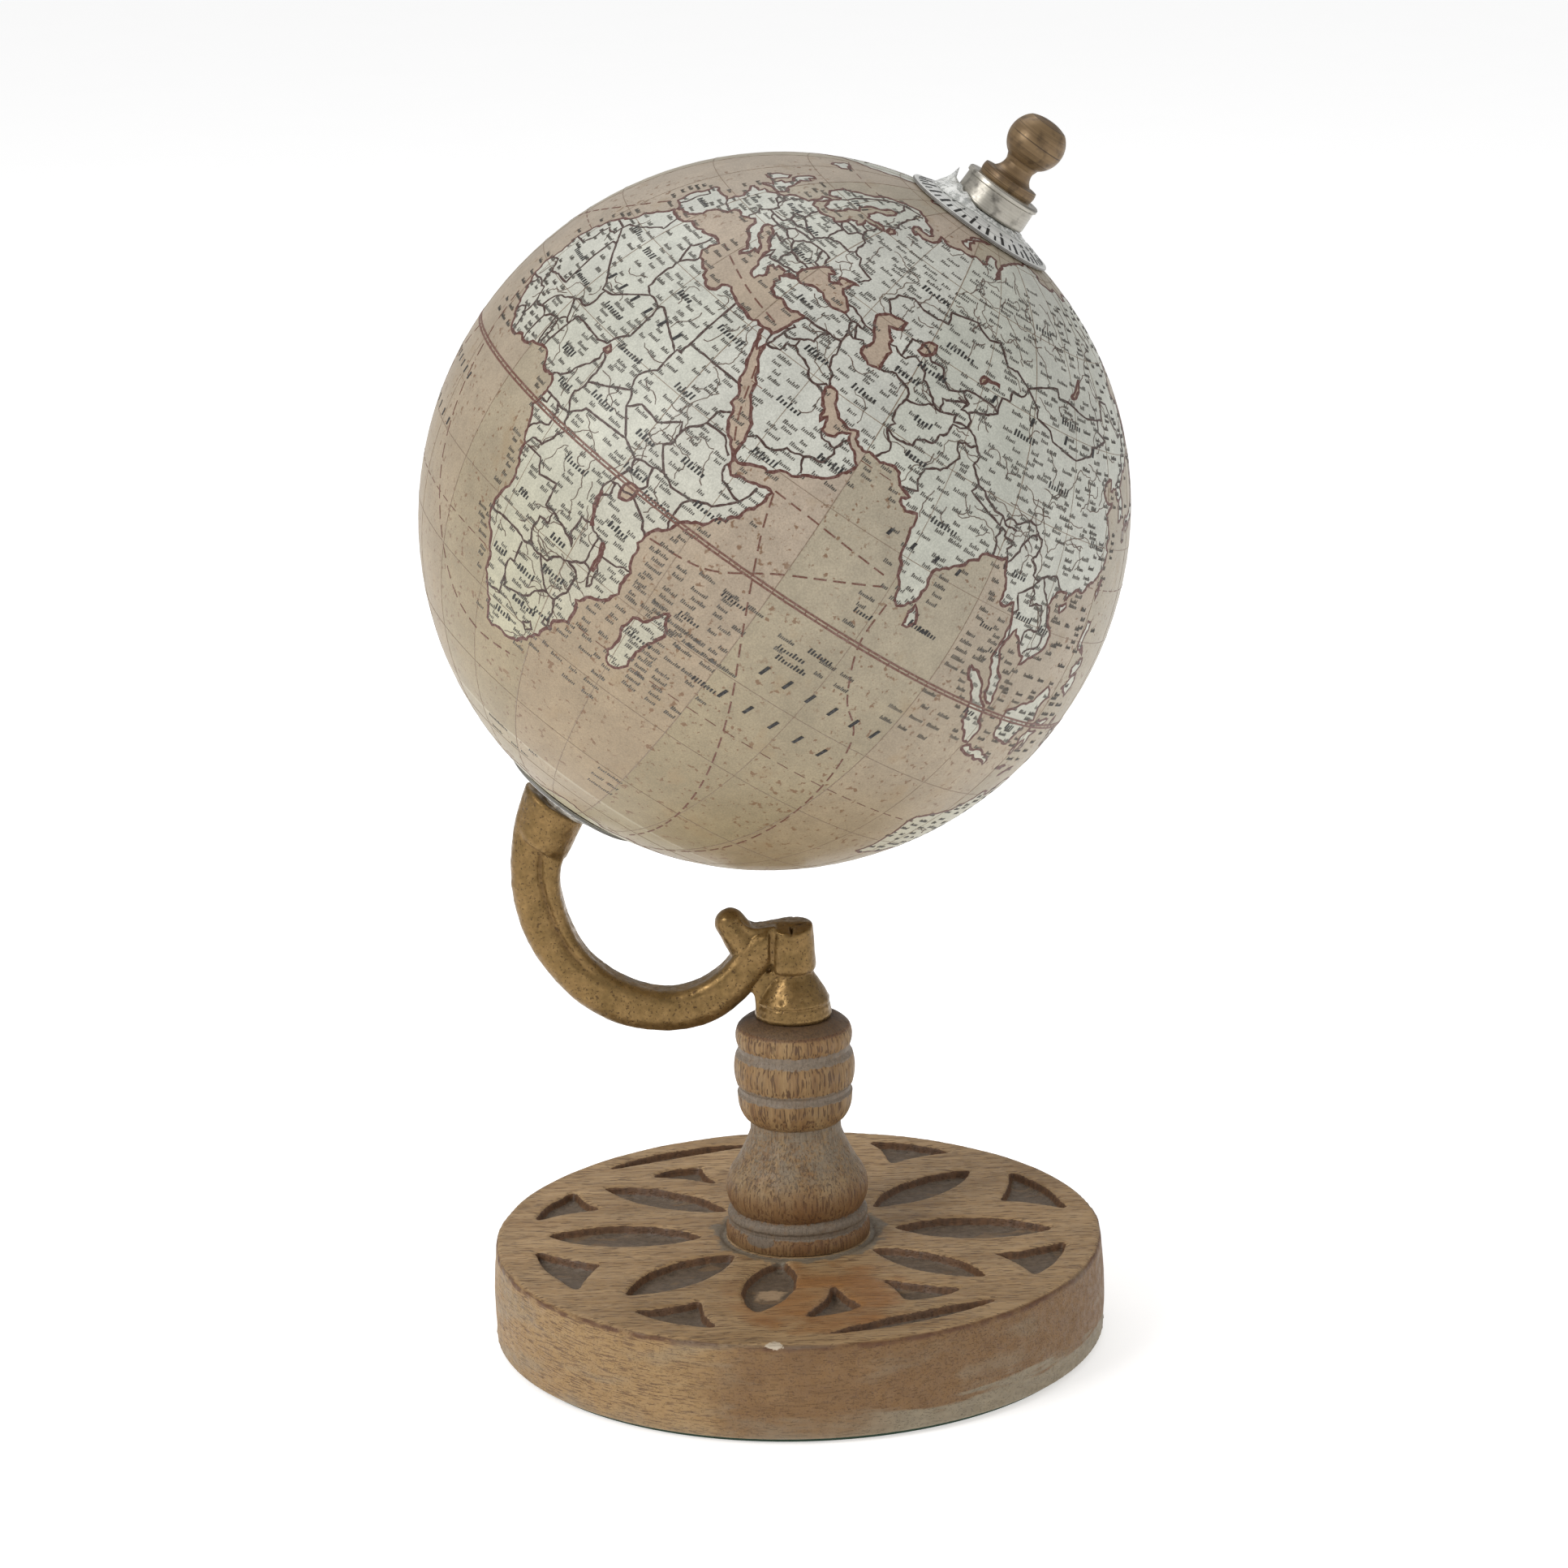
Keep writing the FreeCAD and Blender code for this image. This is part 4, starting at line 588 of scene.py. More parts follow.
def map_gores(materials):
    flat, made = map_triangles()
    for index in range(360 // GORE):
        triangles = [(triangle, kind) for triangle, kind, gore in made if gore == index]
        gore_piece(index, flat, triangles, materials)


# ---------------------------------------------------------------- printed lines
INK_DEPTH = 0.03 * MM                                   # how far the ink reaches into the paper


def evened(path, step=1.4):
    """The same line with no run longer than a step, in degrees."""
    made = [path[0]]
    for a, b in zip(path, path[1:]):
        parts = max(1, math.ceil(math.hypot(b[0] - a[0], b[1] - a[1]) / step))
        made += [
            (a[0] + (b[0] - a[0]) * i / parts, a[1] + (b[1] - a[1]) * i / parts)
            for i in range(1, parts + 1)
        ]
    return made


def ink_line(shape, path, width, height, draw=None):
    """Flat band of ink along a path, in millimetres. With a draw, its width is uneven."""
    points = [on_ball(lon, lat) for lon, lat in path]
    sections = []
    for before, point, after in zip([points[0], *points], points, [*points[1:], points[-1]]):
        normal = ball_normal(point)
        side = normal.cross(after - before).normalized()
        side = side * (width * MM / 2 * (draw.uniform(0.7, 1.3) if draw else 1.0))
        low = point - normal * INK_DEPTH
        high = point + normal * (height * MM)
        sections.append([low - side, low + side, high + side, high - side])
    shape.band(sections)


def dashes(path, length, gap):
    """Stretches of a path, in degrees along it."""
    made = []
    stretch = [path[0]]
    run = 0.0
    inked = True
    for a, b in zip(path, path[1:]):
        step = math.hypot((b[0] - a[0]) * math.cos(math.radians(a[1])), b[1] - a[1])
        run += step
        if inked:
            stretch.append(b)
        if run >= (length if inked else gap):
            if inked and len(stretch) > 1:
                made.append(stretch)
            inked = not inked
            stretch = [b]
            run = 0.0
    if inked and len(stretch) > 1:
        made.append(stretch)
    return made


def visible(path):
    """Without what lies beyond the last printed latitude."""
    return [(lon, lat) for lon, lat in path if abs(lat) < LAST_LATITUDE - 1]


def coast_lines():
    shape = Shape()
    draw = random.Random(11)
    for points in [*COAST_LINES.values(), *LAKE_LINES.values()]:
        kept = visible(points)
        whole = len(kept) == len(points)
        ink_line(shape, evened(kept + kept[:1] if whole else kept), 0.54, 0.03, draw)
    return shape


def winding_lines(text, seed, width, height, *bends):
    """Lines of the map, roughened by the given bends."""
    shape = Shape()
    draw = random.Random(seed)
    for line in lines(text):
        ink_line(shape, evened(roughened(line, draw, False, *bends)), width, height, draw)
    return shape


def small_river_lines():
    """Many short winding streams over the land, at seeded places."""
    shape = Shape()
    draw = random.Random(14)
    made = 0
    while made < 240:
        lon, lat = draw.uniform(-180, 180), draw.uniform(-34, 68)
        crowded = 66 < lon < 125 and lat > 20 or -12 < lon < 42 and -20 < lat < 14
        if not on_land(lon, lat) or (not crowded and draw.random() < 0.6):
            continue
        heading = draw.uniform(0, math.tau)
        path = [(lon, lat)]
        for _ in range(draw.randint(4, 9)):
            heading += draw.uniform(-0.9, 0.9)
            last_lon, last_lat = path[-1]
            path.append((last_lon + math.cos(heading) * 0.8, last_lat + math.sin(heading) * 0.7))
        if all(on_land(*place) for place in path):
            ink_line(shape, path, 0.15, 0.02, draw)
            made += 1
    return shape


def grid_lines():
    shape = Shape()
    for lat in range(-75, 76, 15):
        if lat:
            ink_line(shape, round_the_ball(lat, 1.5), 0.11, 0.016)
    for lon in range(-180, 180, 15):
        path = [(lon, -78 + 1.5 * i) for i in range(105)]
        ink_line(shape, path, 0.16 if lon % GORE == 0 else 0.1, 0.018)
    return shape


def round_the_ball(lat, step):
    return [(-180 + step * i, lat) for i in range(int(360 / step) + 1)]


def dashed_lines():
    """The tropics, the polar circles and the sea routes."""
    shape = Shape()
    for lat in (-66.5, -23.5, 23.5, 66.5):
        for stretch in dashes(round_the_ball(lat, 0.75), 2.0, 1.2):
            if not on_land(*stretch[0]):
                ink_line(shape, stretch, 0.14, 0.02)
    for route in lines(SEA_ROUTES):
        for stretch in dashes(evened(curved(route), 0.6), 1.9, 0.9):
            ink_line(shape, stretch, 0.3, 0.024)
    return shape


def curved(route, parts=12):
    """Smooth line through a route's places."""
    ends = [route[0], *route, route[-1]]
    made = []
    for a, b, c, d in zip(ends, ends[1:], ends[2:], ends[3:]):
        for i in range(parts):
            t = i / parts
            weights = (
                -0.5 * t + t**2 - 0.5 * t**3,
                1 - 2.5 * t**2 + 1.5 * t**3,
                0.5 * t + 2 * t**2 - 1.5 * t**3,
                -0.5 * t**2 + 0.5 * t**3,
            )
            made.append(tuple(sum(w * p[k] for w, p in zip(weights, (a, b, c, d))) for k in (0, 1)))
    return made + [route[-1]]


def equator_line():
    """Two strong lines and the rungs between them."""
    shape = Shape()
    gap = 0.28
    for lat in (-gap, gap):
        ink_line(shape, round_the_ball(lat, 1.5), 0.36, 0.034)
    for lon in range(-180, 180, 2):
        ink_line(shape, [(lon, -gap), (lon, gap)], 0.2, 0.032)
    return shape


# ---------------------------------------------------------------- bars in place of lettering
BAR_HEIGHT = 0.028 * MM                                 # how far a bar stands over the paper


def bar(shape, lon, lat, across, width, tall, word_height, lean=0.18):
    """Upright block of ink, in millimetres. It starts half a word's height below its spot."""
    narrow = max(0.25, math.cos(math.radians(lat)))
    foot_lon = lon + math.degrees(across * MM / (EQUATOR * narrow))
    foot_lat = lat + math.degrees(-word_height * MM / 2 / POLE)
    foot = on_ball(foot_lon, foot_lat)
    normal = ball_normal(foot)
    east = AXIS.cross(normal).normalized()
    head = foot + (normal.cross(east) + east * lean) * (tall * MM)
    reach = east * (width * MM / 2)
    corners = [foot - reach, foot + reach, head + reach, head - reach]
    bottom = shape.add([corner - normal * INK_DEPTH for corner in corners])
    top = shape.add([corner + normal * BAR_HEIGHT for corner in corners])
    shape.faces.append(tuple(reversed(bottom)))
    shape.faces.append(tuple(top))
    shape.ring_of_quads(bottom, top)


def bar_word(shape, draw, lon, lat, count, pitch, height, width):
    """Row of bars of uneven heights, centred on a spot."""
    for i in range(count):
        share = 1.0 if i == 0 or draw.random() < 0.22 else draw.uniform(0.55, 0.75)
        across = (i - (count - 1) / 2) * pitch
        bar(shape, lon, lat, across, width * draw.uniform(0.8, 1.25), height * share, height)


class SmallWords:
    """Grey names of places, which keep clear of each other."""

    def __init__(self):
        self.shape = Shape()
        self.draw = random.Random(21)
        self.taken = []

    def free(self, lon, lat, room):
        narrow = math.cos(math.radians(lat))
        return all(
            abs(lon - other_lon) * narrow > room * 2.3 or abs(lat - other_lat) > room * 0.62
            for other_lon, other_lat in self.taken
        )

    def add(self, lon, lat, fewest, most):
        bar_word(self.shape, self.draw, lon, lat, self.draw.randint(fewest, most), 0.36, 0.74, 0.19)
        self.taken.append((lon, lat))

    def on_the_land(self):
        """Crowded in Europe and western Africa, and sparse on the far side."""
        draw = self.draw
        for _ in range(13000):
            lon, lat = draw.uniform(-180, 180), math.degrees(math.asin(draw.uniform(-0.6, 0.94)))
            crowded = -12 < lon < 45 and 35 < lat < 58 or -17 < lon < 15 and 4 < lat < 14
            room = 0.95 if crowded else 1.2 if -20 < lon < 150 else 2.6
            if on_land(lon, lat) and self.free(lon, lat, room):
                self.add(lon, lat, 4, 8)

    def beside_the_coasts(self):
        for name in ("africa", "eurasia", "madagascar", "sumatra", "borneo", "java", "luzon"):
            for lon, lat in COAST_LINES[name][::2]:
                if abs(lat) > 60 or self.draw.random() < 0.45:
                    continue
                for side in (-1, 1):
                    there = lon + side * 2.3 / math.cos(math.radians(lat))
                    dry = on_coast_side(there, lat) or on_coast_side(lon + side * 0.8, lat)
                    if not dry and self.free(there, lat, 1.15):
                        self.add(there, lat, 4, 7)
                        break

    def in_the_sea(self):
        for west, east, south, north, row_step in SEA_NOTES:
            lat = north
            while lat > south:
                lon = west
                while lon < east:
                    if self.draw.random() < 0.8 and not on_coast_side(lon, lat):
                        self.add(lon, lat, 5, 9)
                    lon += self.draw.uniform(3.4, 4.6)
                lat -= row_step


def small_words():
    words = SmallWords()
    words.on_the_land()
    words.beside_the_coasts()
    words.in_the_sea()
    return words.shape


# Blocks of small print in the sea: west, east, south and north ends, and the space between rows.
SEA_NOTES = [
    (43, 60, -15, -4, 1.3), (50, 62, -27, -13, 1.35), (92, 96, 4, 14, 1.4), (72.5, 75, 1, 7, 1.6),
    (88, 97, -8, -1, 2.3), (36, 46, -33, -24, 2.2), (-18, -8, 4, 12, 1.9), (105, 118, 4, 20, 3.1),
    (122, 128, -8, 6, 1.8), (66, 78, -9, -5, 2.0), (20, 40, -62, -56, 3.0), (55, 62, -52, -46, 2.5),
]


def bold_words():
    """Black country names, wide names of continents and oceans, and islands' names."""
    shape = Shape()
    draw = random.Random(22)
    for lon, lat in places(COUNTRY_NAMES):
        count = draw.randint(4, 8)
        narrow = 0.8 if 36 < lat < 56 and lon < 30 else 1.0
        bar_word(shape, draw, lon, lat, count, 0.72 * narrow, 1.25 * narrow, 0.34)
    for lon, lat, count in ISLAND_NAMES:
        bar_word(shape, draw, lon, lat, count, 0.62, 1.0, 0.27)
    for first, last, lat, count, height in WIDE_NAMES:
        for i in range(count):
            lon = first + (last - first) * i / (count - 1)
            bar(shape, lon, lat, 0.0, 0.62, height, height, 0.3)
    return shape


ISLAND_NAMES = [
    (56, -4.6, 8), (47, -18.5, 9), (73.5, 4.5, 6), (84.5, 6.8, 7), (72, -4.5, 8), (68, -6.5, 9),
    (69, -8.0, 10), (60, -18.5, 8), (98.5, 9, 6), (94, 12, 5), (30, -26, 6), (52, -11, 7),
]
# West and east ends, latitude, number of bars, height in millimetres.
WIDE_NAMES = [
    (66, 88, -11, 6, 2.0), (63, 83, -18, 5, 2.0), (2, 22, 21.5, 6, 1.7), (78, 112, 44, 4, 1.7),
    (70, 84, 17, 4, 1.3), (-34, -12, -6, 8, 1.5), (-30, -12, -14, 5, 1.5), (-150, -110, 5, 7, 2.0),
    (-145, -115, -5, 5, 2.0), (-62, -48, -15, 5, 1.7), (-110, -85, 45, 6, 1.7), (150, 175, 10, 5, 1.8),
]


def map_prints():
    """Each kind of print is one piece that turns with the ball."""
    borders = winding_lines(BORDERS, 12, 0.38, 0.026, 0.9, 0.14, 3.4)
    rivers = winding_lines(RIVERS, 13, 0.14, 0.022, 0.7, 0.2)
    prints = [
        ("coast_print", coast_lines(), "coast_ink", (86, 46, 36)),
        ("border_print", borders, "border_ink", (60, 36, 28)),
        ("river_print", rivers, "river_ink", (92, 72, 58)),
        ("stream_print", small_river_lines(), "stream_ink", (86, 66, 54)),
        ("grid_print", grid_lines(), "grid_ink", (126, 106, 86)),
        ("route_print", dashed_lines(), "route_ink", (100, 60, 44)),
        ("equator_print", equator_line(), "equator_ink", (104, 66, 52)),
        ("small_words_print", small_words(), "small_word_ink", (68, 62, 54)),
        ("bold_words_print", bold_words(), "bold_word_ink", (20, 17, 15)),
    ]
    for name, shape, ink_name, colour in prints:
        new_piece(name, shape, "globe", [ink_material(ink_name, colour)])


# ---------------------------------------------------------------- material helper
def srgb(red, green, blue):
    """Scene colour for the usual 0 to 255 numbers."""

    def linear(value):
        share = value / 255
        return share / 12.92 if share <= 0.04045 else ((share + 0.055) / 1.055) ** 2.4

    return (linear(red), linear(green), linear(blue), 1.0)


def colour_of(tone):
    """A tone is either three numbers from 0 to 255 or the output of a node."""
    return srgb(*tone) if isinstance(tone, tuple) else tone


class Look:
    """A material while its nodes are made. Places and lengths in the nodes are in millimetres."""

    def __init__(self, name, roughness, metallic=0.0, coat=0.0):
        self.material = bpy.data.materials.new(name)
        self.material.use_nodes = True
        self.tree = self.material.node_tree
        self.shader = self.tree.nodes["Principled BSDF"]
        self.shader.inputs["Roughness"].default_value = roughness
        self.shader.inputs["Metallic"].default_value = metallic
        self.shader.inputs["Coat Weight"].default_value = coat
        self.shader.inputs["Coat Roughness"].default_value = 0.12
        coordinates = self.node("ShaderNodeTexCoord")
        self.place = self.scaled(coordinates.outputs["Object"], 1 / MM)
        parts = self.node("ShaderNodeSeparateXYZ")
        self.link(self.place, parts.inputs[0])
        self.x, self.y, self.z = parts.outputs
        self.colour = None

    def node(self, kind, **settings):
        made = self.tree.nodes.new(kind)
        for name, value in settings.items():
            setattr(made, name, value)
        return made

    def link(self, source, target):
        if isinstance(source, tuple) and target.type == "VECTOR":
            target.default_value = source[:3]
        elif isinstance(source, (int, float, tuple)):
            target.default_value = source
        else:
            self.tree.links.new(source, target)

    def joined(self, made, a, b):
        self.link(a, made.inputs[0])
        self.link(b, made.inputs[1])
        return made

    def math(self, operation, a, b):
        return self.joined(self.node("ShaderNodeMath", operation=operation), a, b).outputs[0]

    def vector(self, operation, a, b):
        made = self.joined(self.node("ShaderNodeVectorMath", operation=operation), a, b)
        return made.outputs["Value" if operation in ("DOT_PRODUCT", "LENGTH", "DISTANCE") else "Vector"]

    def scaled(self, vector, factor):
        made = self.node("ShaderNodeVectorMath", operation="SCALE")
        self.link(vector, made.inputs[0])
        self.link(factor, made.inputs["Scale"])
        return made.outputs[0]

    def product(self, *values):
        result = values[0]
        for value in values[1:]:
            result = self.math("MULTIPLY", result, value)
        return result

    # Patterns, as values from 0 to 1.
    def noise(self, size, stretch=(1, 1, 1), detail=3.0, shift=0.0, place=None):
        """Noise from about 0 to 1, whose blobs are about a size across, in millimetres."""
        shares = tuple(1 / (size * s) for s in stretch)
        moved = self.vector("MULTIPLY", place or self.place, shares)
        made = self.node("ShaderNodeTexNoise")
        made.inputs["Scale"].default_value = 1.0
        made.inputs["Detail"].default_value = detail
        self.link(self.vector("ADD", moved, (shift, shift * 0.7, shift * 1.3)), made.inputs["Vector"])
        return made.outputs[0]

    def step(self, value, low, high, start=0.0, end=1.0):
        """Smooth change from start to end as a value goes from low to high."""
        made = self.node("ShaderNodeMapRange", interpolation_type="SMOOTHSTEP")
        self.link(value, made.inputs["Value"])
        for name, number in (("From Min", low), ("From Max", high), ("To Min", start), ("To Max", end)):
            made.inputs[name].default_value = number
        return made.outputs[0]

    def fall(self, value, low, high):
        return self.step(value, low, high, 1.0, 0.0)

    def spots(self, size, low, high, start=0.0, end=1.0, **noise):
        """Noise that changes from start to end between two of its levels."""
        return self.step(self.noise(size, **noise), low, high, start, end)

    def sway(self, value, amount, size, **noise):
        """A value that wanders by half an amount either way."""
        swing = self.product(self.math("SUBTRACT", self.noise(size, **noise), 0.5), amount)
        return self.math("ADD", value, swing)

    def near(self, centre, reach, ragged, size):
        """1 at a point, 0 beyond its reach, with a ragged edge."""
        distance = self.vector("DISTANCE", self.place, centre)
        distance = self.math("ADD", distance, self.product(self.noise(size), ragged))
        return self.fall(distance, reach * 0.75, reach)

    def cavity(self, low, high):
        """0 in hollows, 1 on ridges."""
        shape = self.node("ShaderNodeNewGeometry")
        return self.step(shape.outputs["Pointiness"], low, high)

    # Places on the object.
    def radius(self):
        """Distance from the upright axis."""
        squares = self.math("ADD", self.product(self.x, self.x), self.product(self.y, self.y))
        return self.math("SQRT", squares, 0.0)

    def along(self):
        """Distance along the globe's axis, from its middle to the north."""
        return self.vector("DOT_PRODUCT", self.arm(), tuple(AXIS))

    def arm(self):
        return self.vector("SUBTRACT", self.place, tuple(CENTRE / MM))

    def lathe_place(self):
        """Distance along the globe's axis and off it, and the two as a place."""
        along = self.along()
        spoke = self.vector("SUBTRACT", self.arm(), self.scaled(tuple(AXIS), along))
        off = self.vector("LENGTH", spoke, (0, 0, 0))
        return off, self.joined(self.node("ShaderNodeCombineXYZ"), along, off).outputs[0]

    # Colours.
    def mix(self, share, a, b, blend="MIX"):
        made = self.node("ShaderNodeMix", data_type="RGBA", blend_type=blend)
        self.link(share, made.inputs[0])
        self.link(colour_of(a), made.inputs[6])
        self.link(colour_of(b), made.inputs[7])
        return made.outputs[2]

    def shade(self, tone, amount, low, high):
        """A tone made darker or lighter by a value."""
        return self.scaled(colour_of(tone), self.step(amount, 0.25, 0.75, low, high))

    def over(self, share, tone):
        """Lays a tone over the colour so far."""
        self.colour = self.mix(share, self.colour, tone)

    def vary(self, amount, low, high):
        self.colour = self.shade(self.colour, amount, low, high)

    def bump(self, height, depth):
        """Relief of a depth in millimetres."""
        made = self.node("ShaderNodeBump")
        made.inputs["Strength"].default_value = 1.0
        made.inputs["Distance"].default_value = depth * MM
        self.link(height, made.inputs["Height"])
        self.link(made.outputs[0], self.shader.inputs["Normal"])

    def finish(self, roughness=None):
        self.link(self.colour, self.shader.inputs["Base Color"])
        if roughness is not None:
            self.link(roughness, self.shader.inputs["Roughness"])
        return self.material


# ---------------------------------------------------------------- printed paper
def ink_material(name, colour):
    """Ink that has faded unevenly."""
    look = Look(name, 0.5)
    faded = tuple(c + (190 - c) * 0.25 for c in colour)
    look.colour = look.mix(look.spots(0.5, 0.42, 0.7, detail=2), colour, faded)
    return look.finish()


# Where the round paper cap at the south begins, along the axis from the ball's middle.
CAP_EDGE = -53.2


def varnished_paper(name, yellow, pink, speckled):
    """Aged print under varnish. Its tint goes from yellow to pink from gore to gore."""
    look = Look(name, 0.45, coat=0.06)
    tint = look.node("ShaderNodeAttribute", attribute_name="gore_tint")
    look.colour = look.mix(tint.outputs["Fac"], yellow, pink)
    look.vary(look.noise(11.0, detail=2), 0.91, 1.06)
    look.vary(look.noise(2.4, shift=5), 0.93, 1.05)
    look.vary(look.noise(0.32, detail=1, shift=9), 0.89, 1.1)
    along = look.along()
    # Darker and yellower from the north down to the south: partly yellowed varnish, partly painted shade on
    # the lower half of the ball.
    south = look.step(along, 38.0, -56.0)
    look.over(look.product(south, 0.8), look.mix(1.0, look.colour, (216, 203, 168), "MULTIPLY"))
    if speckled:
        cap = look.step(along, CAP_EDGE, CAP_EDGE - 0.2)
        lip = look.product(cap, look.step(along, CAP_EDGE - 0.7, CAP_EDGE - 0.4))
        look.over(look.math("ADD", look.product(cap, 0.1), look.product(lip, 0.14)), (226, 220, 198))
        patch = look.math("ADD", look.noise(12.0, shift=2), look.product(south, 0.16))
        spot = look.spots(1.1, 0.60, 0.68, shift=3)
        fine = look.spots(0.42, 0.64, 0.70, 0.0, 0.55, shift=4)
        foxing = look.product(look.math("MAXIMUM", spot, fine), look.step(patch, 0.42, 0.6), 0.85)
        look.over(foxing, (116, 84, 56))
        look.over(look.spots(6.0, 0.58, 0.74, 0.0, 0.35, shift=7), (150, 126, 92))
    look.bump(look.noise(0.6, detail=2), 0.004)
    return look.finish()


def paper_materials():
    return [
        varnished_paper("ocean_paper", (165, 156, 135), (173, 158, 141), True),
        varnished_paper("land_paper", (195, 196, 183), (198, 198, 188), False),
        varnished_paper("dark_sea_paper", (171, 155, 134), (175, 157, 138), True),
    ]


# ---------------------------------------------------------------- wood
def streaked_wood(look, along, tones, pore_tone, pore_size, pore_edge):
    """Colours mango wood whose grain runs along one axis, and gives the grain's relief."""
    long, longer = (tuple(length if i == along else 1.0 for i in range(3)) for length in (16.0, 8.0))
    light, middle, dark = tones
    look.colour = look.mix(look.spots(4.0, 0.3, 0.7, stretch=longer), light, middle)
    look.over(look.spots(0.9, 0.45, 0.72, 0.0, 0.55, stretch=long, shift=3), dark)
    look.vary(look.noise(0.36, long, detail=2, shift=6), 0.84, 1.13)
    look.vary(look.noise(14.0, shift=8), 0.9, 1.08)
    pores = look.spots(pore_size, *pore_edge, stretch=longer, detail=1, shift=11)
    look.over(look.product(pores, 0.7), pore_tone)
    fibre = look.noise(0.3, long, detail=2, shift=13)
    return look.math("SUBTRACT", look.product(fibre, 0.4), pores)


def carved_wood():
    """Brown top with the grain along X, grey wash in the cuts and pale wash round the foot."""
    look = Look("carved_wood", 0.62)
    tones = ((177, 147, 108), (160, 129, 90), (132, 100, 65))
    relief = streaked_wood(look, 0, tones, (92, 66, 42), 0.32, (0.59, 0.67))
    rim = BASE_RADIUS / MM
    top = BASE_TOP / MM
    side = look.step(look.radius(), rim - 1.2, rim - 0.7)
    side_grain(look, side)
    front_stain(look, top)
    washed_cuts(look, look.math("SUBTRACT", 1.0, side), top)
    side_washes(look, side, top)
    post_wash(look)
    rim_chip(look, top)
    look.bump(relief, 0.1)
    return look.finish(look.spots(1.5, 0.3, 0.7, 0.5, 0.7))


def side_grain(look, side):
    """The side is lighter and golden with long dark pores on the left, and darker and brown with short ones
    on the right. The lighter left and darker right are painted light and shade as well as grain.
    """
    # Painted light and shade: lighter gold to the left, darker brown to the right.
    left = look.fall(look.math("ADD", look.x, look.product(look.noise(10.0), 34.0)), -8.0, 12.0)
    gold = look.mix(look.noise(1.2, (4, 4, 0.7), shift=21), (168, 137, 92), (138, 106, 64))
    brown = look.mix(look.noise(2.6, (2, 2, 1), shift=22), (131, 97, 55), (104, 73, 40))
    slits = look.spots(0.3, 0.53, 0.6, stretch=(9, 9, 0.8), detail=2, shift=23)
    dots = look.spots(0.34, 0.57, 0.65, 0.0, 0.8, detail=1, shift=24)
    pores = look.product(look.mix(left, dots, slits), 0.68)
    grain = look.mix(pores, look.mix(left, brown, gold), (80, 50, 28))
    look.over(look.product(side, 0.92), grain)


def front_stain(look, top):
    """Orange stain and lacquer in front of the post."""
    stain = look.near((3.5, -34.0, top), 28.0, 18.0, 6.0)
    streaks = look.spots(5.0, 0.3, 0.6, 0.45, 0.85, stretch=(2, 1, 1), shift=27)
    varnish = look.shade((150, 102, 54), look.noise(0.6, (12, 1, 1)), 0.78, 1.18)
    look.over(look.product(stain, streaks), varnish)


def washed_cuts(look, inside, top):
    """Painted shade on the walls and in the corners, grey wash on the floors, one chip, and pale edges that
    are partly worn wood and partly painted highlight.
    """
    depth = look.math("SUBTRACT", top, look.sway(look.z, 0.5, 1.6, shift=31))
    # Painted shade on the walls of the cuts.
    painted_shade_wall = look.shade((104, 74, 48), look.noise(0.9, (1, 1, 3), shift=32), 0.7, 1.3)
    look.over(look.product(look.step(depth, 0.28, 0.42), inside), painted_shade_wall)
    washed = look.product(look.step(depth, 1.5, 1.7), inside)
    floor = look.shade((106, 91, 75), look.noise(0.9, shift=35), 0.8, 1.14)
    bare = look.product(look.spots(3.2, 0.58, 0.66, stretch=(2, 1, 1), shift=33), 0.6)
    look.over(washed, look.mix(bare, floor, (132, 106, 76)))
    chip = look.near((-5.4, -27.6, top - 2.1), 5.2, 4.0, 1.6)
    look.over(look.product(chip, washed), (172, 146, 116))
    # Painted shade in the corners of the cuts.
    corners = look.fall(look.cavity(0.40, 0.48), 0.0, 1.0)
    look.over(look.product(corners, inside, 0.8), (62, 44, 30))
    # Pale edges: partly worn wood, partly painted highlight.
    look.over(look.product(look.cavity(0.54, 0.60), inside, 0.4), (160, 118, 84))


def side_washes(look, side, top):
    """A red-brown line round the rim, and grey washes low on the side, most of all at the right."""
    drift = look.sway(look.z, 1.6, 6.0, shift=40)
    line = look.product(look.step(drift, top - 1.5, top - 0.8), look.fall(drift, top - 0.5, top - 0.1))
    broken = look.spots(5.0, 0.36, 0.56, 0.2, 0.85, shift=41)
    look.over(look.product(line, side, broken), (90, 54, 30))
    low = look.fall(look.math("ADD", look.z, look.product(look.noise(9.0, shift=43), 9.0)), 5.0, 9.5)
    look.over(look.product(low, 0.42), (142, 128, 106))
    clouds = look.product(look.spots(6.0, 0.5, 0.66, stretch=(3, 3, 0.8), shift=45), side, 0.34)
    swept = look.fall(look.sway(look.z, 11.0, 3.0, stretch=(5, 5, 0.6), shift=46), 4.6, 6.6)
    right_low = look.product(swept, look.step(look.x, 4.0, 20.0), side, 0.9)
    grey = look.shade((140, 128, 106), look.noise(0.8, (4, 4, 1)), 0.86, 1.12)
    look.over(look.math("MAXIMUM", clouds, right_low), grey)


def post_wash(look):
    """Grey wash on the top round the post."""
    foot = COLUMN_FOOT / MM
    radius = look.radius()
    spread = look.fall(look.sway(radius, 9.0, 3.4, shift=47), foot + 1.9, foot + 3.2)
    ring = look.product(look.step(radius, foot - 0.1, foot + 0.1), spread, 0.92)
    look.over(ring, look.shade((128, 116, 98), look.noise(1.0), 0.85, 1.1))


def rim_chip(look, top):
    """A small white patch on the front rim, wider than it is high."""
    flat = look.vector("MULTIPLY", look.place, (0.4, 0.4, 1.0))
    away = look.vector("DISTANCE", flat, (-1.9, -22.4, top - 0.35))
    white = look.fall(look.math("ADD", away, look.noise(0.8)), 0.95, 1.15)
    look.over(look.product(white, 0.85), (206, 192, 170))


# Grey bands round the post, as heights over the base.
GREY_RINGS = [(2.8, 5.75), (27.9, 29.9), (35.3, 37.3)]
NECK_TOP = 22.6                                         # where the bell and neck end, over the base


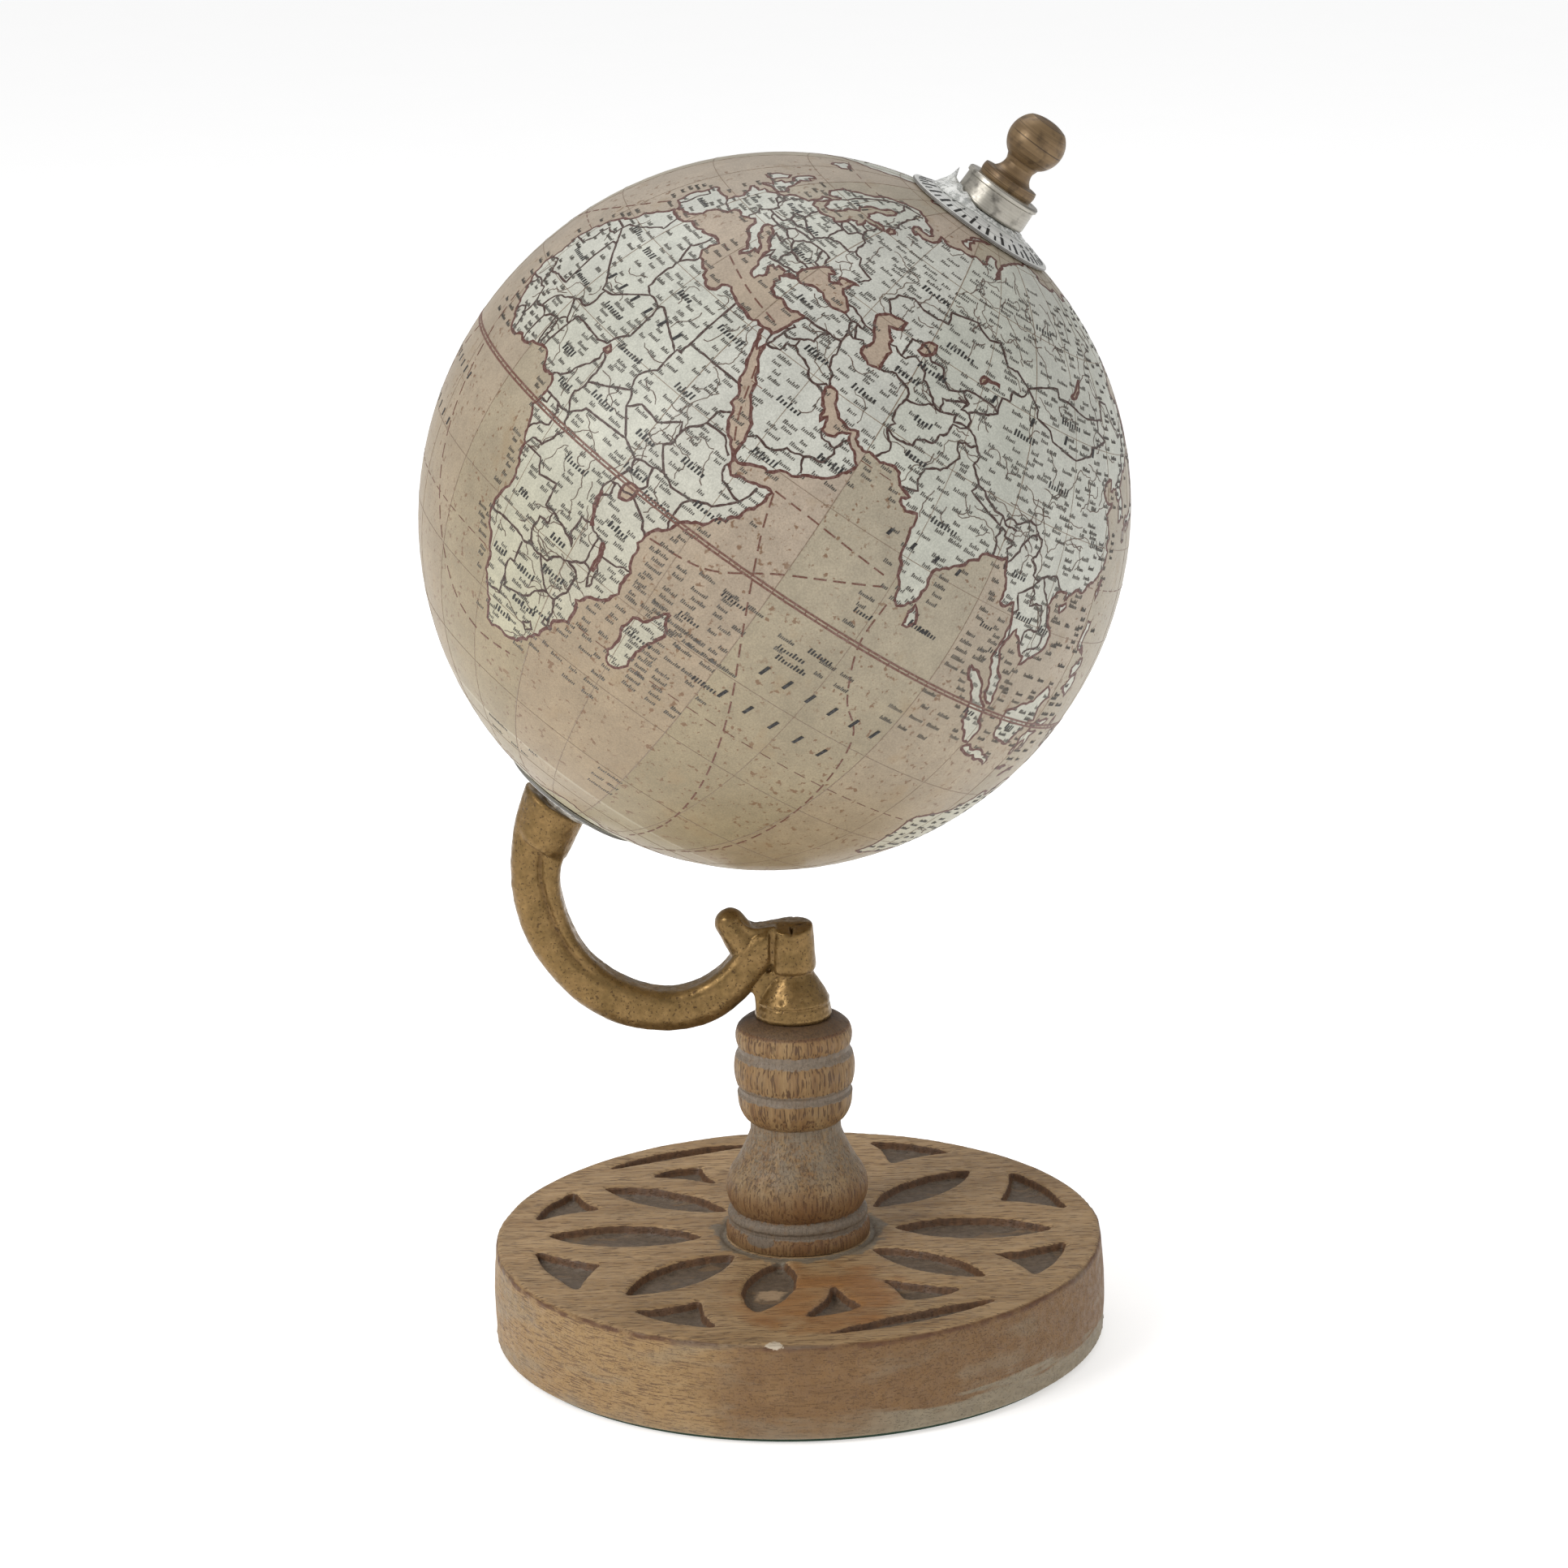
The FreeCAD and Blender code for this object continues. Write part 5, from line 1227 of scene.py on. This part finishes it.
def turned_wood():
    """Upright grain, grey wash on the neck and in the grooves, orange-brown below the bell, and painted shade
    in the hollows.
    """
    look = Look("turned_wood", 0.6)
    tones = ((160, 131, 90), (138, 105, 65), (99, 65, 37))
    relief = streaked_wood(look, 2, tones, (70, 43, 24), 0.36, (0.55, 0.63))
    foot = BASE_TOP / MM
    height = look.math("SUBTRACT", look.z, foot)
    washed_neck(look, height)
    for low, high in GREY_RINGS:
        edge = look.sway(height, 1.2, 0.9, shift=high)
        band = look.product(look.step(edge, low - 0.15, low + 0.1), look.fall(edge, high - 0.1, high + 0.15))
        patchy = look.spots(1.8, 0.3, 0.5, 0.7, 1.0, shift=low)
        look.over(look.product(band, patchy), look.shade((128, 114, 98), look.noise(0.6), 0.84, 1.14))
    squashed = look.vector("MULTIPLY", look.place, (0.5, 0.5, 1.4))
    away = look.vector("DISTANCE", squashed, (-3.6, -5.6, (foot + 2.3) * 1.4))
    blotch = look.fall(look.math("ADD", away, look.noise(1.2)), 1.9, 2.2)
    look.over(look.product(blotch, 0.85), (116, 104, 90))
    top_edge = look.product(look.step(height, 40.3, 40.7), look.fall(height, 40.9, 41.2), 0.6)
    look.over(top_edge, (86, 54, 38))
    dome = look.shade((98, 76, 55), look.noise(1.0), 0.8, 1.15)
    look.over(look.product(look.step(height, 40.85, 41.15), 0.9), dome)
    # Painted shade in the hollows of the turning.
    look.over(look.product(look.fall(look.cavity(0.42, 0.5), 0.0, 1.0), 0.3), (76, 60, 46))
    look.bump(relief, 0.09)
    return look.finish(look.spots(1.5, 0.3, 0.7, 0.5, 0.7))


def washed_neck(look, height):
    ragged = look.sway(height, 3.2, 2.0)
    look.over(look.product(look.fall(ragged, 8.0, 13.0), 0.5), (120, 80, 44))
    neck = look.product(look.step(ragged, 9.5, 17.0), look.fall(height, NECK_TOP - 0.2, NECK_TOP + 0.2))
    grains = look.math("ADD", look.noise(0.6, shift=6), look.noise(4.5, shift=5))
    patchy = look.step(grains, 0.8, 1.25, 0.95, 0.15)
    wash = look.shade((136, 122, 102), look.noise(0.45, (1, 1, 2), shift=4), 0.78, 1.14)
    look.over(look.product(neck, patchy), wash)
    specks = look.spots(0.3, 0.61, 0.68, detail=1, shift=14)
    look.over(look.product(specks, 0.5, look.fall(height, NECK_TOP - 0.6, NECK_TOP)), (82, 58, 36))


# ---------------------------------------------------------------- metal
def cast_brass():
    """Sand-cast brass, browned in its hollows, with small dark pits and polished high spots."""
    look = Look("cast_brass", 0.4, metallic=0.72)
    look.colour = look.mix(look.spots(4.0, 0.3, 0.7), (139, 111, 69), (121, 96, 56))
    look.vary(look.noise(0.7, detail=2, shift=2), 0.86, 1.1)
    hollow = look.math("SUBTRACT", 1.0, look.cavity(0.42, 0.5))
    look.over(look.product(hollow, 0.7), (84, 58, 34))
    pits = look.spots(0.42, 0.62, 0.68, detail=2, shift=5)
    pits = look.math("MAXIMUM", pits, look.spots(1.1, 0.68, 0.72, detail=2, shift=6))
    look.over(look.product(pits, 0.75), (72, 52, 34))
    grain = look.product(look.noise(0.8, detail=4, shift=8), 0.9)
    look.bump(look.math("SUBTRACT", grain, look.product(pits, 0.7)), 0.05)
    return look.finish(look.spots(1.2, 0.3, 0.7, 0.27, 0.5, shift=9))


def turned_metal(name, tones, roughness, ring_size, metallic, dark_blotch_and_reflection, rim=None):
    """Metal with fine rings from the lathe and streaks that follow them, and dark blotches that are partly
    painted reflection. It is dark beyond a rim, which is a painted shade line.
    """
    look = Look(name, roughness, metallic=metallic)
    off, rings = look.lathe_place()
    around = look.vector("ADD", rings, look.vector("MULTIPLY", look.place, (0.02, 0.02, 0.02)))
    light, middle, dark = tones
    look.colour = look.mix(look.spots(ring_size * 3, 0.3, 0.7, place=around), light, middle)
    # Dark blotches: partly painted reflections on the collar and dials.
    look.over(look.spots(2.2, 0.5, 0.72, 0.0, dark_blotch_and_reflection, detail=4, shift=3), dark)
    look.over(look.spots(ring_size, 0.56, 0.7, 0.0, 0.8, place=around, shift=5), dark)
    # Painted shade line along the rolled rim of a dial.
    if rim:
        look.over(look.step(off, rim / MM - 0.14, rim / MM - 0.05, 0.0, 0.85), (84, 80, 74))
    look.bump(look.noise(ring_size, place=around, shift=7), 0.012)
    return look.finish(look.spots(1.4, 0.3, 0.7, roughness * 0.8, roughness * 1.25, shift=9))


def bright_steel():
    look = Look("zinc_steel", 0.35, metallic=1.0)
    look.colour = look.mix(look.noise(1.5), (176, 178, 182), (150, 152, 158))
    look.bump(look.noise(0.3, (1, 1, 0.2)), 0.01)
    return look.finish()


# ---------------------------------------------------------------- the rest
def plain_moulding(name, light, dark, roughness, size):
    """Moulded plastic or pressed card with a fine mottle."""
    look = Look(name, roughness)
    look.colour = look.mix(look.spots(size, 0.35, 0.65), light, dark)
    look.bump(look.noise(size * 0.3, detail=4), 0.02)
    return look.finish()


def felt():
    look = Look("green_felt", 0.95)
    look.shader.inputs["Sheen Weight"].default_value = 0.4
    fibres = look.noise(0.25, (4, 1, 1), detail=4)
    look.colour = look.mix(fibres, (38, 62, 48), (58, 84, 66))
    look.bump(look.math("ADD", fibres, look.noise(0.25, (1, 4, 1), detail=4, shift=3)), 0.08)
    return look.finish()


def clear_film():
    """Thin film that has gone milky where it is creased."""
    look = Look("clear_film", 0.16)
    look.shader.inputs["IOR"].default_value = 1.46
    creases = look.spots(0.9, 0.38, 0.6, detail=4)
    look.link(look.math("ADD", look.product(creases, 0.42), 0.28), look.shader.inputs["Alpha"])
    look.bump(look.noise(0.7, detail=4, shift=2), 0.12)
    look.colour = look.mix(creases, (226, 228, 224), (248, 248, 244))
    return look.finish()


def dial_ink():
    look = Look("dial_ink", 0.5)
    look.colour = look.mix(look.noise(0.4), (10, 10, 12), (26, 24, 24))
    return look.finish()




# ---------------------------------------------------------------- the cast arm and the carved base
def finer_copy(node, name, voxel, rounds):
    """Even mesh over a CAD node, with its sharp edges worn a little."""
    piece = in_scene(name, NODES[node].data.copy())
    even = piece.modifiers.new("even", "REMESH")
    even.mode = "VOXEL"
    even.voxel_size = voxel
    soften = piece.modifiers.new("soften", "SMOOTH")
    soften.factor = 0.5
    soften.iterations = rounds
    state = bpy.context.evaluated_depsgraph_get()
    mesh = bpy.data.meshes.new_from_object(piece.evaluated_get(state), depsgraph=state)
    piece.modifiers.clear()
    copied = piece.data
    piece.data = mesh
    bpy.data.meshes.remove(copied)
    mesh.materials.clear()
    return piece


def finished_copy(piece, node, material):
    piece.data.materials.append(material)
    piece.data.shade_smooth()
    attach(piece, "stand")
    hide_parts(node)


def reshape(mesh, move):
    """Moves each vertex to where a function of its place and normal says."""
    before = [(vertex.co.copy(), vertex.normal.copy()) for vertex in mesh.vertices]
    after = [move(point, normal) for point, normal in before]
    mesh.vertices.foreach_set("co", [number for point in after for number in point])
    mesh.update()


def smooth_step(value, low, high):
    share = max(0.0, min(1.0, (value - low) / (high - low)))
    return share * share * (3 - 2 * share)


def path_gap(path, x, z):
    """Distance from a line of points to a place, and how far along the line it is, from 0 to 1."""
    best = (1.0, 0.0)
    for i, (a, b) in enumerate(zip(path, path[1:])):
        across, up = b[0] - a[0], b[1] - a[1]
        share = ((x - a[0]) * across + (z - a[1]) * up) / (across**2 + up**2)
        share = max(0.0, min(1.0, share))
        gap = math.hypot(a[0] + across * share - x, a[1] + up * share - z)
        if gap < best[0]:
            best = (gap, (i + share) / (len(path) - 1))
    return best


# The furrow along the arm's faces, as (x, z) in millimetres. It fades near the arm's low point.
FURROW = [(-45.2, 95.5), (-45.6, 90.0), (-44.2, 83.5), (-41.5, 77.0), (-37.5, 72.0), (-31.5, 67.8)]
FURROW_WIDTH = 0.7 * MM
FURROW_DEPTH = 0.85 * MM
ARM_REGROWTH = 0.1                                      # what smoothing took off, in millimetres


def cast_arm():
    """Pitted, slightly uneven casting with a furrow along both faces of its curve."""
    piece = finer_copy("arm_casting", "cast_arm", 0.3 * MM, 2)
    path = [(x * MM, z * MM) for x, z in curved(FURROW, 4)]
    furrow_end = (FURROW[-1][0] + 3) * MM

    def cast(point, normal):
        if point.x < furrow_end and abs(normal.y) > 0.35:
            gap, share = path_gap(path, point.x, point.z)
            fade = smooth_step(share, 0.0, 0.12) * (1 - smooth_step(share, 0.6, 1.0))
            cut = math.exp(-((gap / FURROW_WIDTH) ** 2)) * FURROW_DEPTH * fade
            point.y -= math.copysign(cut, point.y)
        spot = point / MM
        rough = noise.noise(spot / 2.6) * 0.09 + noise.noise(spot / 1.1) * 0.05
        pit = min(0.0, noise.noise(spot / 0.8 + Vector((9, 4, 2))) + 0.42) * 0.35
        return point + normal * ((rough + pit + ARM_REGROWTH) * MM)

    reshape(piece.data, cast)
    finished_copy(piece, "arm_casting", cast_brass())


def carved_base():
    """Gouge marks on the recess floors, and a rim that isn't quite true."""
    noise.seed_set(5)                                   # noise_vector is different in each run without a seed
    piece = finer_copy("base_disc", "carved_base", 0.58 * MM, 1)

    def carve(point, normal):
        spot = point / MM
        radius = math.hypot(spot.x, spot.y)
        lowered = BASE_TOP / MM - spot.z
        inside = radius < BASE_RADIUS / MM - 2
        in_a_cut = 0.2 < lowered < 3.0
        if inside and in_a_cut:
            wander = noise.noise_vector(Vector((spot.x, spot.y, 0)) / 4.5) * 0.35
            point.x += wander.x * MM
            point.y += wander.y * MM
            if lowered > 1.8:
                point.z += noise.noise(Vector((spot.x / 3.4, spot.y / 1.5, 0))) * 0.25 * MM
        elif inside and lowered <= 0.7:
            point.z += (noise.noise(spot / 5.0) - 0.4) * 0.1 * MM
        elif not inside and spot.z > 2:
            swell = (noise.noise(spot / 9.0) - 0.5) * 0.22 + noise.noise(spot / 2.5) * 0.05
            point.x += spot.x / radius * swell * MM
            point.y += spot.y / radius * swell * MM
        return point

    reshape(piece.data, carve)
    finished_copy(piece, "base_disc", carved_wood())


# ---------------------------------------------------------------- the dials
TICK_HEIGHT = 0.05 * MM                                 # half of a tick's thickness
HOURS = 24


def measured(node):
    """How far each point of a node is along the axis, and how far off it."""
    return zip(*(along_and_off(vertex.co) for vertex in NODES[node].data.vertices))


def surface_of(node):
    """Function that gives the place on a node's outer face at a distance along a spoke."""
    mesh = NODES[node].data
    tree = BVHTree.FromPolygons([v.co for v in mesh.vertices], [p.vertices for p in mesh.polygons])
    along, _ = measured(node)
    side = 1 if sum(along) > 0 else -1
    outside = AXIS * (side * 80 * MM)

    def place(across, spoke, height):
        hit, normal, _, _ = tree.ray_cast(CENTRE + spoke * across + outside, AXIS * -side)
        if normal.dot(AXIS * side) < 0:
            normal = -normal
        return hit + normal * height

    return place


def spoke_at(angle):
    return LOW_SIDE * math.cos(angle) + BEHIND * math.sin(angle)


def on_dial(place, angle, radius, sideways, height):
    """Place at a radius, moved sideways from the spoke at an angle."""
    arm = spoke_at(angle) * radius + spoke_at(angle + math.pi / 2) * sideways
    return place(arm.length, arm.normalized(), height)


def add_tick(shape, place, angle, inner, outer, width):
    """Thin block of ink along a spoke."""
    corners = ((-1, -1), (1, -1), (1, 1), (-1, 1))
    radii = [inner + (outer - inner) * step / 4 for step in range(5)]
    shape.band([
        [on_dial(place, angle, radius, width / 2 * reach, height * TICK_HEIGHT) for reach, height in corners]
        for radius in radii
    ])


def add_number(shape, place, number, angle, radius, size):
    """Number whose foot is towards the rim."""
    text = bpy.data.curves.new("number", "FONT")
    text.body = str(number)
    text.size = size
    text.align_x = "CENTER"
    text.extrude = TICK_HEIGHT
    text.resolution_u = 3
    letters = bpy.data.objects.new("number", text)
    mesh = bpy.data.meshes.new_from_object(letters)
    spots = [vertex.co for vertex in mesh.vertices]
    used = shape.add([on_dial(place, angle, radius - spot.y, spot.x, spot.z) for spot in spots])
    shape.faces.extend(tuple(used[i] for i in polygon.vertices) for polygon in mesh.polygons)
    bpy.data.objects.remove(letters)
    bpy.data.curves.remove(text)
    bpy.data.meshes.remove(mesh)


def dial_print(node, body, material, numbered):
    """Long ticks with the hours, and a short tick half-way between each two."""
    shape = Shape()
    place = surface_of(node)
    draw = random.Random(31)
    _, off = measured(node)
    rim = max(off) - 0.9 * MM
    for i in range(2 * HOURS):
        angle = math.tau * (i + 0.3) / (2 * HOURS)
        long = i % 2 == 0
        reach = (2.4 if long else 1.3) * draw.uniform(0.92, 1.08) * MM
        width = (0.56 if long else 0.46) * draw.uniform(0.85, 1.15) * MM
        add_tick(shape, place, angle, rim - reach, rim, width)
        if long and numbered:
            add_number(shape, place, i // 2 % 12 + 1, angle, rim - reach - 0.45 * MM, 1.35 * MM)
    new_piece(f"{node}_print", shape, body, [material])


# ---------------------------------------------------------------- the film
FILM = 0.05 * MM
FILM_BUNCH = math.radians(184)                          # the middle of the bunched part, round the axis


def crumpled_film():
    """Thin ring of clear film. It is flat in front and bunched up behind the collar's high side."""
    shape = Shape()
    place = surface_of("north_hour_dial")
    _, collar_off = measured("north_collar")
    inner = max(collar_off) - 0.9 * MM
    film_along, _ = measured("film_washer")
    floor = min(film_along)
    around, across = 144, 9
    upper, lower = [], []
    for i in range(around):
        angle = math.tau * i / around
        spoke = spoke_at(angle)
        bunched = smooth_step(math.cos(angle - FILM_BUNCH), 0.35, 0.95)
        ragged = noise.noise(spoke * 2.1 + Vector((3, 1, 7)))
        outer = inner + (2.1 + 0.7 * ragged + 2.2 * bunched) * MM
        top_row, low_row = [], []
        for j in range(across):
            share = j / (across - 1)
            radius = inner + (outer - inner) * share
            resting = along_and_off(place(radius, spoke, 0.12 * MM))[0]
            flat = floor + (resting - floor) * smooth_step(share, 0.25, 0.8)
            spot = spoke * (radius / MM) + Vector((2, 5, 1))
            crease = abs(noise.noise(spot / 1.6)) * 1.5 + abs(noise.noise(spot / 0.7)) * 0.5
            arch = math.sin(math.pi * min(1.0, share * 1.05)) ** 0.6
            low_crease = abs(noise.noise(spot / 1.3)) * 0.3
            lift = (bunched * (0.9 + 1.0 * crease) + (1 - bunched) * low_crease) * arch * MM
            spire = math.exp(-(((i - 71) / 0.8) ** 2) - ((j - 4) / 0.8) ** 2) * 2.6 * MM
            along = flat + lift + spire
            top_row.append(CENTRE + spoke * radius + AXIS * (along + FILM))
            low_row.append(CENTRE + spoke * radius + AXIS * along)
        upper.append(shape.add(top_row))
        lower.append(shape.add(low_row))
    for i in range(around):
        k = (i + 1) % around
        for j in range(across - 1):
            shape.faces.append((upper[i][j], upper[k][j], upper[k][j + 1], upper[i][j + 1]))
            shape.faces.append((lower[i][j + 1], lower[k][j + 1], lower[k][j], lower[i][j]))
        shape.faces.append((lower[i][0], lower[k][0], upper[k][0], upper[i][0]))
        shape.faces.append((upper[i][-1], upper[k][-1], lower[k][-1], lower[i][-1]))
    piece = new_piece("crumpled_film", shape, "stand", [clear_film()], True)
    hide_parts("film_washer")


# ---------------------------------------------------------------- looks of the CAD parts that stay
def paint(material, *nodes):
    for node in nodes:
        materials = NODES[node].data.materials
        materials.clear()
        materials.append(material)


def paint_cad_parts():
    paint(turned_wood(), "turned_column")
    paint(felt(), "felt_pad")
    paint(bright_steel(), "tie_rod", "tie_rod_washer", "tie_rod_nut", "axle_rod")
    silver = ((198, 193, 182), (150, 145, 134), (84, 80, 74))
    paint(turned_metal("collar_metal", silver, 0.34, 0.7, 0.6, 0.75), "north_collar", "south_collar")
    bronze = ((134, 110, 78), (108, 86, 60), (54, 40, 28))
    paint(turned_metal("finial_bronze", bronze, 0.44, 0.34, 0.45, 0.5), "finial_knob")
    spun = ((238, 238, 234), (216, 217, 213), (150, 151, 149))
    for node in ("south_hour_dial", "north_hour_dial"):
        _, off = measured(node)
        paint(turned_metal(node + "_metal", spun, 0.36, 0.3, 0.25, 0.25, max(off)), node)
    shell = plain_moulding("moulded_shell", (186, 182, 170), (172, 168, 156), 0.6, 6.0)
    paint(shell, "north_hemisphere", "south_hemisphere")
    paint(plain_moulding("card", (176, 152, 116), (156, 132, 98), 0.8, 1.2), "equator_band")
    nylon = plain_moulding("nylon", (228, 226, 218), (212, 210, 202), 0.45, 2.0)
    paint(nylon, "north_bushing", "south_bushing")


# ---------------------------------------------------------------- stage, light and camera
def stage():
    """Wide white floor, which glows a little so that it stays white far from the lights."""
    reach = 20.0
    corners = [(-reach, -reach, 0), (reach, -reach, 0), (reach, reach, 0), (-reach, reach, 0)]
    mesh = bpy.data.meshes.new("floor")
    mesh.from_pydata(corners, [], [(0, 1, 2, 3)])
    floor = in_scene("floor", mesh)
    look = Look("floor_paper", 0.9)
    look.colour = look.mix(look.noise(40.0), (250, 250, 250), (253, 253, 253))
    look.shader.inputs["Emission Color"].default_value = (1.0, 1.0, 1.0, 1.0)
    look.shader.inputs["Emission Strength"].default_value = 0.49
    mesh.materials.append(look.finish())


def soft_light(name, place, size, power):
    """Square light that faces the middle of the object."""
    data = bpy.data.lights.new(name, "AREA")
    data.size = size
    data.energy = power
    light = in_scene(name, data)
    light.location = place
    light.rotation_euler = (CENTRE * 0.8 - Vector(place)).to_track_quat("-Z", "Y").to_euler()


def lights():
    world = bpy.data.worlds.new("studio")
    bpy.context.scene.world = world
    world.use_nodes = True
    background = world.node_tree.nodes["Background"]
    background.inputs["Color"].default_value = (1.0, 1.0, 1.0, 1.0)
    background.inputs["Strength"].default_value = 0.45
    soft_light("key", (-0.85, -0.6, 0.85), 0.6, 7.0)
    soft_light("fill", (0.9, -0.6, 0.35), 0.8, 1.0)
    soft_light("top", (-0.1, 0.4, 1.2), 0.8, 3.5)
    bpy.context.scene.view_settings.view_transform = "Standard"


LENS = 113.2
CAMERA_PLACE = Vector((-0.735, -866.50, 345.28)) * MM
CAMERA_PITCH = math.radians(15.449)                     # down from level
CAMERA_ROLL = math.radians(1.323)


def camera():
    data = bpy.data.cameras.new("camera")
    data.lens = LENS
    data.sensor_width = 36.0
    right = Vector((1, 0, 0))
    up = Vector((0, math.sin(CAMERA_PITCH), math.cos(CAMERA_PITCH)))
    forward = Vector((0, math.cos(CAMERA_PITCH), -math.sin(CAMERA_PITCH)))
    turned_right = right * math.cos(CAMERA_ROLL) - up * math.sin(CAMERA_ROLL)
    turned_up = right * math.sin(CAMERA_ROLL) + up * math.cos(CAMERA_ROLL)
    matrix = Matrix((turned_right, turned_up, -forward)).transposed().to_4x4()
    matrix.translation = CAMERA_PLACE
    eye = in_scene("camera", data)
    eye.matrix_world = matrix
    bpy.context.scene.camera = eye


# ---------------------------------------------------------------- the scene
BASE_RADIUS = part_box("base_disc")[1][0]
BASE_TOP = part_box("base_disc")[1][2]
COLUMN_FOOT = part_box("turned_column")[1][0]

map_gores(paper_materials())
map_prints()
cast_arm()
carved_base()
ink = dial_ink()
dial_print("north_hour_dial", "north_dial", ink, True)
dial_print("south_hour_dial", "south_dial", ink, False)
crumpled_film()
paint_cad_parts()
stage()
lights()
camera()
